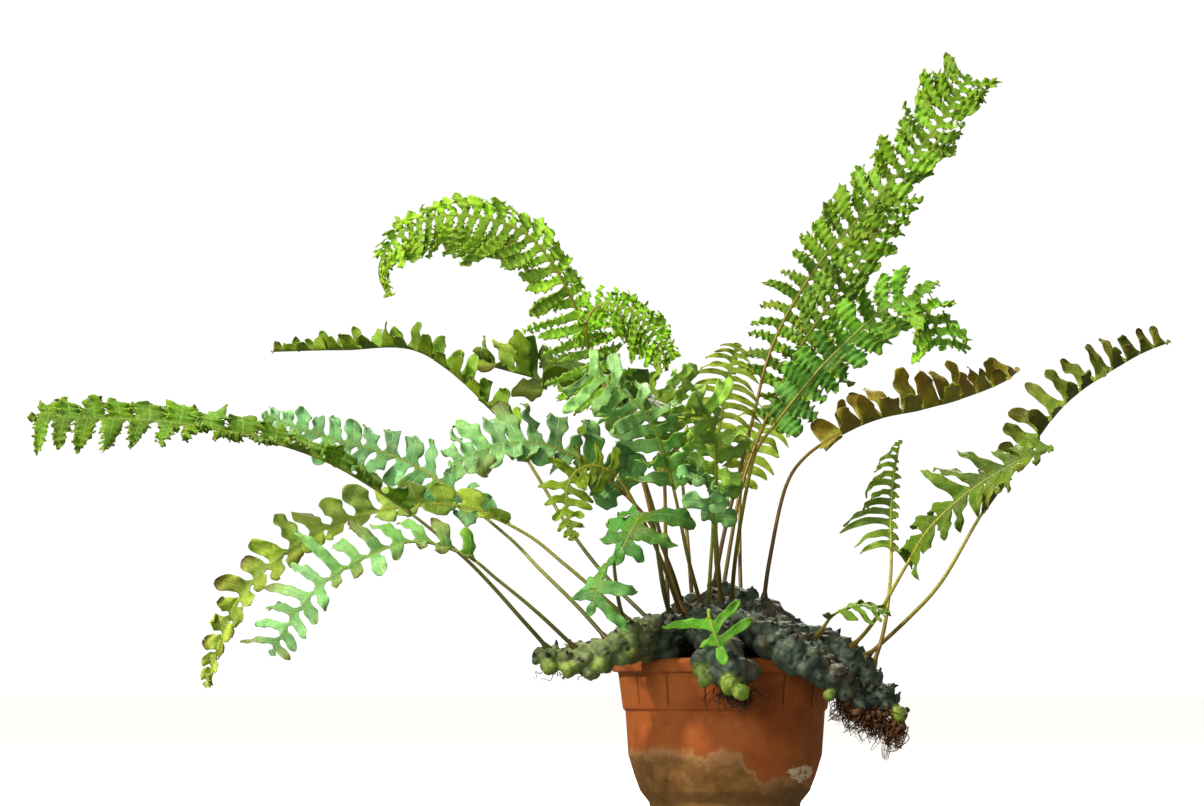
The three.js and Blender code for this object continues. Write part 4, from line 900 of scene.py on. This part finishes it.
def make_roots():
    """Roots: a brown mat with clods under the right branch, and fine dark ones at the front and the left."""
    rng = np.random.default_rng(21)
    knots = [((104, -92, 98), np.array([10, 8, 5])), ((120, -88, 88), np.array([12, 8, 6])),
             ((134, -82, 84), np.array([12, 8, 7])), ((148, -80, 76), np.array([6, 6, 5]))]
    right = [path for knot, spread in knots for path in tangle(rng, knot, spread, (5, 19), 75)]
    loop = np.array([(140, -82, 72), (143, -83, 62), (141, -84, 52), (139, -84, 46), (137, -84, 52), (138, -83, 64),
                     (141, -82, 70)])
    right += [loop, loop + [1.2, 1, -1], loop + [-1, 0, 1]]
    hanging = fibres("roots_right_fibres", right, 0.5, ROOT_BROWN)
    dirt = clods(rng, knots, 110).piece("roots_right_clods", ROOT_BROWN)
    take(hanging)
    dirt.select_set(True)
    bpy.ops.object.join()
    front = tangle(rng, (10, -118, 108), np.array([22, 4, 4]), (4, 17), 90)
    left = tangle(rng, (-140, -116, 124), np.array([22, 7, 3]), (2, 6), 14)
    left += tangle(rng, (-44, -64, 148), np.array([26, 14, 5]), (0, 5), 60)
    finish_piece(hanging, ["roots_right"])
    finish_piece(fibres("roots_front_fibres", front, 0.34, ROOT_DARK), ["roots_front"])
    finish_piece(fibres("roots_left_fibres", left, 0.36, ROOT_DARK), [])


# Fronds

EDGE_YELLOW = rgba("#a8be48")
DRY_YELLOW = rgba("#a89a30")
DRY_BROWN = rgba("#4e2c14")
BLOOM_WHITE = rgba("#a8d0b4")
RIB_GREEN = rgba("#7f9a3c")
BEAD_SHAPE, BEAD_FACES = ball(1)

# Colours of a stipe at its foot and top, by the branch that it grows from
STIPE_SHADES = {"left": ("#4e4c18", "#90963c"), "front": ("#5a5a20", "#90b034"), "middle": ("#4c3414", "#967434"),
                "back": ("#4e3e16", "#948034"), "cross": ("#5e4c1a", "#9c9638"),
                "right_upper": ("#7e6424", "#b4b248"), "right_lower": ("#7e6424", "#b4b248")}


def frond_line(frond):
    """Midrib of a frond from its seat in the rhizome: place, way, facing and left along it, its length, and the
    colours of its stipe."""
    points = BRANCHES[frond["branch"]]
    line, length = smooth_line([p[:3] for p in points])
    centre = at(line, length, frond["root"] * length)
    way = np.array(frond["way"], float)
    foot = centre + unit(way[0] - centre) * (thickness(points, frond["root"]) - STIPE_SEAT)
    first, second = np.linalg.norm(way[0] - foot), np.linalg.norm(way[1] - way[0])
    way[0] = 0.35 * way[0] + 0.65 * (foot + (way[1] - foot) * first / (first + second))
    place, length = smooth_line([foot, *way])
    along = unit(np.gradient(place, axis=0))
    share = np.clip((np.linspace(0, 1, len(place)) - frond["start"]) / (1 - frond["start"]), 0, 1)
    facing = between(*np.array(frond["faces"], float), share[:, None])
    facing = unit(facing - (facing * along).sum(1, keepdims=True) * along)
    shade = [rgba(c) for c in STIPE_SHADES[frond["branch"]]]
    return dict(place=place, along=along, facing=facing, left=np.cross(facing, along), length=length, shade=shade)


def on_rib(rib, spots, *keys):
    return (at(rib[key], rib["length"], spots) for key in keys)


def sheet_faces(rows, columns):
    """Faces of a thin sheet: its front grid, its back grid, and the wall round its edge."""
    points = rows * columns
    i, k = np.meshgrid(np.arange(rows - 1), np.arange(columns - 1), indexing="ij")
    a = (i * columns + k).ravel()
    front = np.column_stack([a, a + columns, a + columns + 1, a + 1])
    right = np.arange(1, rows) * columns + columns - 1
    bottom = (rows - 1) * columns + np.arange(columns - 2, -1, -1)
    left = np.arange(rows - 2, 0, -1) * columns
    loop = np.concatenate([np.arange(columns), right, bottom, left])
    after = np.roll(loop, -1)
    wall = np.column_stack([loop, after, after + points, loop + points])
    return np.concatenate([front, front[:, ::-1] + points, wall])


def leaf_sheet(gather, grid, facing, s, w, tones, chance):
    """Adds a thin leaf from a grid of surface points, at shares s along it and w across it, with a front and a
    back of their own colours."""
    rows, columns, _ = grid.shape
    across = np.repeat(w[None], rows, 0)
    normal = unit(np.cross(np.gradient(grid, axis=0), np.gradient(grid, axis=1)))
    if (normal * facing).sum() < 0:
        grid, normal, across = grid[:, ::-1], -normal[:, ::-1], across[:, ::-1]
        tones = [tone[:, ::-1] for tone in tones]
    flat = grid.reshape(-1, 3)
    skin = normal.reshape(-1, 3) * BLADE_HALF
    gather.add(np.concatenate([flat + skin, flat - skin]), sheet_faces(rows, columns), leaf_colour=np.array(tones),
               lobe_along=np.tile(np.repeat(s, columns), 2), lobe_across=np.tile(across.ravel(), 2),
               lobe_draw=chance)


def lobe_width(s, shape, count, phase):
    """Half width of a lobe along its length against half its spacing: a waist, a belly and a round or
    pointed end, with a wavy or toothed edge."""
    swell = between(shape["waist"], 1, ease(0.12, 0.66, s))
    blunt = swell * np.sqrt(np.maximum(1 - (np.clip(s - 0.64, 0, 1) / 0.36) ** 2.2, 0))
    lance = (0.86 + 0.14 * np.sin(s * math.pi)) * np.maximum(1 - s ** 1.9, 0) ** 0.85
    body = blunt * (1 - shape["pointed"]) + lance * shape["pointed"]
    wave = np.sin(TAU * (shape["waves"] * s + phase)) * ease(0.1, 0.4, s) * (1 - ease(0.7, 0.95, s))
    notch = shape["teeth"] * 0.36 * (1 - (s * count + phase) % 1) ** 1.2 * ease(0.06, 0.2, s)
    return body * (1 + shape["wave"] * wave) * (1 - notch)


def lobe_shape(look, share, rng):
    """Shape of one lobe at its share of the blade, with its own small differences."""
    late = float(ease(*look["turn"], share))
    shape = {key: between(*look[key], late) for key in ("pointed", "teeth", "fill", "waist", "droop")}
    shape["pointed"] = min(max(shape["pointed"] + rng.normal(0, 0.12), 0), 1)
    shape["teeth"] = shape["teeth"] * rng.uniform(0.8, 1.2) if shape["teeth"] > 0.05 else 0
    shape["fill"] *= rng.uniform(0.88, 1.1)
    shape["wave"] = look["wave"] * rng.uniform(0.6, 1.4)
    shape["waves"] = rng.uniform(1.3, 2.3)
    return shape


def make_lobe(gather, rib, frond, mid, hand, reach, pitch, share, rng, tones, sweep, bend, fill):
    """Adds one lobe, and beads where its edge is toothed."""
    look = LOOKS[frond["look"]]
    loose, wing = look["loose"], look["wing"]
    shape = lobe_shape(look, share, rng)
    toothed = shape["teeth"] > 0.1
    rows, columns = (30, 6) if toothed else (17, 8)
    s = np.linspace(0, 1, rows) * 0.5 + (1 - np.cos(np.linspace(0, math.pi, rows))) / 4
    w = np.linspace(-1, 1, columns)
    count = max(3, round(reach / TOOTH_STEP))
    phase = rng.random(2)
    if "crest" in frond and hand < 0 and toothed:
        shape["pointed"], fill = 0.1, fill * 1.35
    half = pitch * 0.5 * shape["fill"] * fill
    lateral = s * reach
    near = np.exp(-(lateral / wing) ** 2)
    low, high = (
        np.maximum(half * lobe_width(s, shape, count, p) * (1 - near) + pitch * BASE_FILL * near, LEAST_HALF)
        for p in phase)
    offset = np.where(w < 0, low[:, None] * w, high[:, None] * w)
    lift = np.interp(share, (0, 1), frond["fold"]) + rng.normal(0, 0.25) * loose
    bend = bend + rng.normal(0, 0.5) * loose
    sweep = sweep + rng.normal(0, 0.09) * loose
    twist = rng.normal(0, look["twist"])
    slope = lift + bend * lateral / frond["lobe"] + rng.normal(look["curl"], 0.7 * loose) * ease(0.5, 1, s)
    step = np.diff(lateral, prepend=0)
    run, rise = np.cumsum(np.cos(slope) * step), np.cumsum(np.sin(slope) * step)
    place, way, up, left = on_rib(rib, mid, "place", "along", "facing", "left")
    out = hand * left
    lean = sweep * lateral + (rng.normal(0.05, 0.06) + shape["droop"]) * reach * s ** 2
    axis = place + run[:, None] * out + rise[:, None] * up + lean[:, None] * way
    normal = np.cos(slope)[:, None] * up - np.sin(slope)[:, None] * out
    turn = (twist * ease(0, 0.8, s))[:, None]
    cross = np.cos(turn) * way + np.sin(turn) * normal
    stand = np.cos(turn) * normal - np.sin(turn) * way
    waves = count * 0.6 if toothed else max(1.2, reach / 15)
    low, high = (np.sin(TAU * (s * waves + p + shift))[:, None] for p, shift in zip(phase, (0, 0.4)))
    height = look["ripple"] * rng.uniform(0.6, 1.3) * (np.where(w < 0, low, high) * np.abs(w) ** 1.5)
    height = height * ease(0.05, 0.35, s)[:, None]
    height += rng.normal(0.5, 1.2) * (w ** 2 - 0.3) * ease(0, 0.3, s)[:, None] * half / 10
    grid = axis[:, None] + offset[..., None] * cross[:, None] + height[..., None] * stand[:, None]
    # The base follows the curved midrib
    base, base_left = on_rib(rib, np.clip(mid + offset, 0, rib["length"]), "place", "left")
    base = base + lateral[:, None, None] * hand * base_left
    hold = np.exp(-(lateral / (wing + 0.4)) ** 2)[:, None, None]
    grid = base * hold + grid * (1 - hold)
    edge = (np.abs(w) ** 4 * 0.12 + ease(0.75, 1, s)[:, None] * 0.1)[..., None] * (1.6 if toothed else 0.8)
    faces = []
    for tone in tones:
        # Painted shade: each lobe is darker at its foot by the midrib, brightening towards its end.
        tone = tone * [0.72, 0.78, 0.6, 1] + tone * [0.36, 0.3, 0.5, 0] * ease(0, 0.6, s)[:, None, None]
        tone = np.tile(tone, (1, columns, 1))
        if "ends" in frond:
            tone = between(tone, rgba(frond["ends"]), ease(0.2, 0.7, s)[:, None, None] * rng.uniform(0.3, 0.9))
        faces.append(between(tone, EDGE_YELLOW, edge))
    if rng.random() < frond["dry"] * (1 + 5 * share ** 4):
        dried = ease(rng.uniform(0.45, 0.8), 1.02, s)[:, None] * (0.7 + 0.3 * np.abs(w))
        yellow = ease(0.1, 0.7, s)[:, None, None] * 0.3
        faces = [between(between(tone, DRY_YELLOW, yellow), DRY_BROWN, dried[..., None]) for tone in faces]
    leaf_sheet(gather, grid, up, s, w, faces, rng.random())
    if shape["teeth"] <= 0.25:
        return
    for column, edge_phase in zip((0, -1), phase):
        for tooth in range(1, count):
            at_s = (tooth - edge_phase) / count
            if 0.15 < at_s < 0.98 and rng.random() < 0.9 * shape["teeth"]:
                row = int(np.argmin(np.abs(s - at_s)))
                spot = grid[row, column] + stand[row] * rng.uniform(-0.6, 1.2)
                gather.add(spot + BEAD_SHAPE * rng.uniform(0.8, 1.5), BEAD_FACES, 2,
                           leaf_colour=tones[0], lobe_draw=rng.random())


def lobe_share(share, foot, tip):
    """Length of a lobe against the longest, at its share of the blade."""
    start = between(foot, 1, math.sin(min(share / 0.35, 1) * math.pi / 2))
    return start * between(1, tip, float(ease(0.5, 1, share)))


def bend_room(rib, distance, hand):
    """Room for a lobe on the inside of a bend of the midrib."""
    before, left = on_rib(rib, max(distance - BEND_SPAN, 0), "along", "left")
    after, = on_rib(rib, min(distance + BEND_SPAN, rib["length"]), "along")
    turn = float(((after - before) * left).sum()) * hand
    return 0.62 * 2 * BEND_SPAN / turn if turn > 0.02 else math.inf


def end_lobe(gather, rib, frond, last, tones):
    """Adds the lobe at the end of a blade, from a place on the midrib to its tip."""
    length = rib["length"]
    s, w = np.linspace(0, 1, 12), np.linspace(-1, 1, 7)
    widest = (length - last) * 0.3 if frond["end"] > 1 else END_LOBE_HALF
    width = np.maximum(widest * (0.55 + 0.6 * np.sin(s * math.pi * 0.8)) * np.sqrt(np.maximum(1 - s ** 3, 0)), 0.3)
    place, left, facing = (row[:, None] for row in on_rib(rib, between(last, length, s), "place", "left", "facing"))
    height = LOOKS[frond["look"]]["ripple"] * 0.6 * np.sin(TAU * 1.5 * s)[:, None] * w
    grid = place + (width[:, None] * w)[..., None] * left + height[..., None] * facing
    leaf_sheet(gather, grid, facing, s, w, [np.tile(tone, (len(s), len(w), 1)) for tone in tones], 0.5)


def make_blade(name, frond, rib, rng):
    """Blade: midrib, pairs of lobes that alternate a little, and an end lobe."""
    gather = Gather("leaf_colour", "lobe_along", "lobe_across", "lobe_draw")
    length, pairs = rib["length"], frond["pairs"]
    start = frond["start"] * length
    shares = 1 - (1 - np.arange(pairs + 1) / (pairs + frond["end"])) ** CROWDING
    stations = start + (length - start) * shares
    bends = frond.get("bends", (frond["bend"], frond["bend"]))
    foot_colour, tip_colour, back_colour = (rgba(c) for c in (*frond["top"], frond["under"]))

    def leaf_tones(share):
        front = between(foot_colour, tip_colour, np.clip(share + rng.normal(0, 0.15), 0, 1))
        front = front + (BLOOM_WHITE - front) * frond["bloom"] * rng.uniform(0, 0.35)
        tones = [front * rng.uniform(0.52, 1.25), back_colour * rng.uniform(0.6, 1.2)]
        return [np.array([*tone[:3], 1]) for tone in tones]

    for k in range(pairs):
        pitch = stations[k + 1] - stations[k]
        share = (k + 0.5) / pairs
        for side, hand in enumerate((1, -1)):
            free = frond["lobe"] * frond["sides"][side] * rng.uniform(0.78, 1.12)
            free *= lobe_share(share, frond["foot"], frond["tip"])
            sweep, fill = frond["sweep"], 1
            if "star" in frond:
                free, sweep, fill = frond["star"][k][side]
            mid = stations[k] + pitch * (0.5 + 0.14 * hand)
            reach = min(free, bend_room(rib, mid, hand))
            if reach > LEAST_LOBE:
                make_lobe(gather, rib, frond, mid, hand, reach, pitch, share, rng, leaf_tones(share), sweep,
                          bends[side], fill)
    end_lobe(gather, rib, frond, stations[-1] - 1, leaf_tones(1))
    # Midrib
    spots = np.linspace(start, length - 1, max(12, int((length - start) / RIB_STEP)))
    place, facing = on_rib(rib, spots, "place", "facing")
    points, faces = tube(place - facing * 0.25, np.linspace(STIPE_TOP_R, RIB_TIP_R, len(spots)), RIB_SIDES)
    rings = np.concatenate([[0], np.linspace(0, 1, len(spots)), [1]])
    shades = between(rib["shade"][1], RIB_GREEN, ease(0, 0.8, rings)[:, None])
    gather.add(points, faces, 1, leaf_colour=np.repeat(shades, RIB_SIDES, 0))
    piece = gather.piece(f"{name}_leaf", LEAF[frond["slot"]], RIND, BEAD)
    finish_piece(piece, [f"{name}_blade"])


def make_stipe(name, frond, rib):
    """Stipe: round, swollen and dark at its foot, thinner and greener towards the blade."""
    reach = frond["start"] * rib["length"] - GAP
    spots = np.linspace(0, reach, max(14, int(reach / STIPE_STEP)))
    line, = on_rib(rib, spots, "place")
    shares = spots / reach
    thick = between(STIPE_R, STIPE_TOP_R, shares)
    thick = thick * (1 + 0.9 * np.exp(-(np.maximum(spots - STIPE_SEAT, 0) / 3.2) ** 2))
    tone = between(*rib["shade"], ease(0.03, 0.75, np.concatenate([[0], shares, [1]]))[:, None])
    gather = Gather("leaf_colour")
    gather.add(*tube(line, thick, STIPE_SIDES), leaf_colour=np.repeat(tone, STIPE_SIDES, 0))
    finish_piece(gather.piece(f"{name}_stem", RIND), [f"{name}_stipe"])


make_pot()
make_soil()
make_rhizome()
make_roots()
for number, (name, frond) in enumerate(FRONDS.items()):
    rib = frond_line(frond)
    make_stipe(name, frond, rib)
    make_blade(name, frond, rib, np.random.default_rng(100 + number))


# Stage, light and camera

def lit_paper(node, place):
    fibre = node(NOISE, {"Vector": place, "Scale": 1 / (900 * MM), "Detail": 3})
    tint = node(RAMP, {0: fibre}, ((0.3, "#f4f4f2"), (0.7, "#fbfbfa")))
    return {"Base Color": tint, "Roughness": 0.95, "Emission Color": "#ffffff", "Emission Strength": 0.75}, None


def lit_screen(node, place):
    return {"Base Color": "#808080", "Emission Color": "#ffffff", "Emission Strength": 0.98}, None


def make_stage():
    """Pale floor that is lit from within like a light table, and a white screen far round it. Both throw no
    light on the plant."""
    nothing_selected()
    bpy.ops.mesh.primitive_circle_add(vertices=64, radius=32, fill_type="NGON", location=(0, 0, -0.0004))
    floor = bpy.context.active_object
    nothing_selected()
    bpy.ops.mesh.primitive_cylinder_add(vertices=64, radius=30, depth=60, end_fill_type="NOTHING",
                                        location=(0, 0, 25))
    screen = bpy.context.active_object
    screen.visible_shadow = False
    bpy.ops.object.mode_set(mode="EDIT")
    bpy.ops.mesh.select_all(action="SELECT")
    bpy.ops.mesh.flip_normals()
    bpy.ops.object.mode_set(mode="OBJECT")
    for sheet, name, material, paint in ((floor, "floor_lit", "light_table_paper", lit_paper),
                                         (screen, "screen_lit", "screen_lit_white", lit_screen)):
        sheet.name = name
        sheet.data.materials.append(new_material(material, paint))
        sheet.visible_diffuse = False
        sheet.visible_glossy = False


def add_light(name, place, aim, size, power, colour):
    nothing_selected()
    bpy.ops.object.light_add(type="AREA", location=place)
    lamp = bpy.context.active_object
    lamp.name = name
    lamp.data.shape = "DISK"
    lamp.data.size = size
    lamp.data.energy = power
    lamp.data.color = rgba(colour)[:3]
    x, y, z = np.subtract(aim, place)
    lamp.rotation_euler = (math.atan2(math.hypot(x, y), -z), 0, math.atan2(-x, y))


CAMERA_AWAY = 8.0
EYE_HEIGHT = 0.13
SENSOR = 36
CENTRE_X = (PHOTO_WIDTH / 2 - 724.7) * MM_PER_PIXEL * MM
CENTRE_Z = (812 - PHOTO_HEIGHT / 2) * MM_PER_PIXEL * MM

make_stage()
add_light("key_softbox", (-2.9, -2.3, 3.5), (0, 0, 0.3), 0.4, 270, "#fff0d0")
add_light("front_softbox", (-2.6, -4.8, 1.8), (0, 0, 0.3), 3.0, 170, "#fff8e4")
add_light("back_softbox", (0.6, 2.6, 2.8), (0, 0, 0.35), 1.6, 110, "#fff8e6")
world = bpy.data.worlds.new("studio")
bpy.context.scene.world = world
world.use_nodes = True
world.node_tree.nodes["Background"].inputs["Color"].default_value = (1, 0.96, 0.76, 1)
world.node_tree.nodes["Background"].inputs["Strength"].default_value = 0.26
bpy.context.scene.view_settings.view_transform = "Standard"

camera_data = bpy.data.cameras.new("camera")
camera = bpy.data.objects.new("camera", camera_data)
bpy.context.scene.collection.objects.link(camera)
bpy.context.scene.camera = camera
rise = CENTRE_Z - EYE_HEIGHT
camera.location = (CENTRE_X, -CAMERA_AWAY, EYE_HEIGHT)
camera.rotation_euler = (math.pi / 2 + math.atan2(rise, CAMERA_AWAY), 0, 0)
camera_data.sensor_width = SENSOR
camera_data.lens = SENSOR * math.hypot(CAMERA_AWAY, rise) / (PHOTO_WIDTH * MM_PER_PIXEL * MM)
camera_data.clip_end = 100
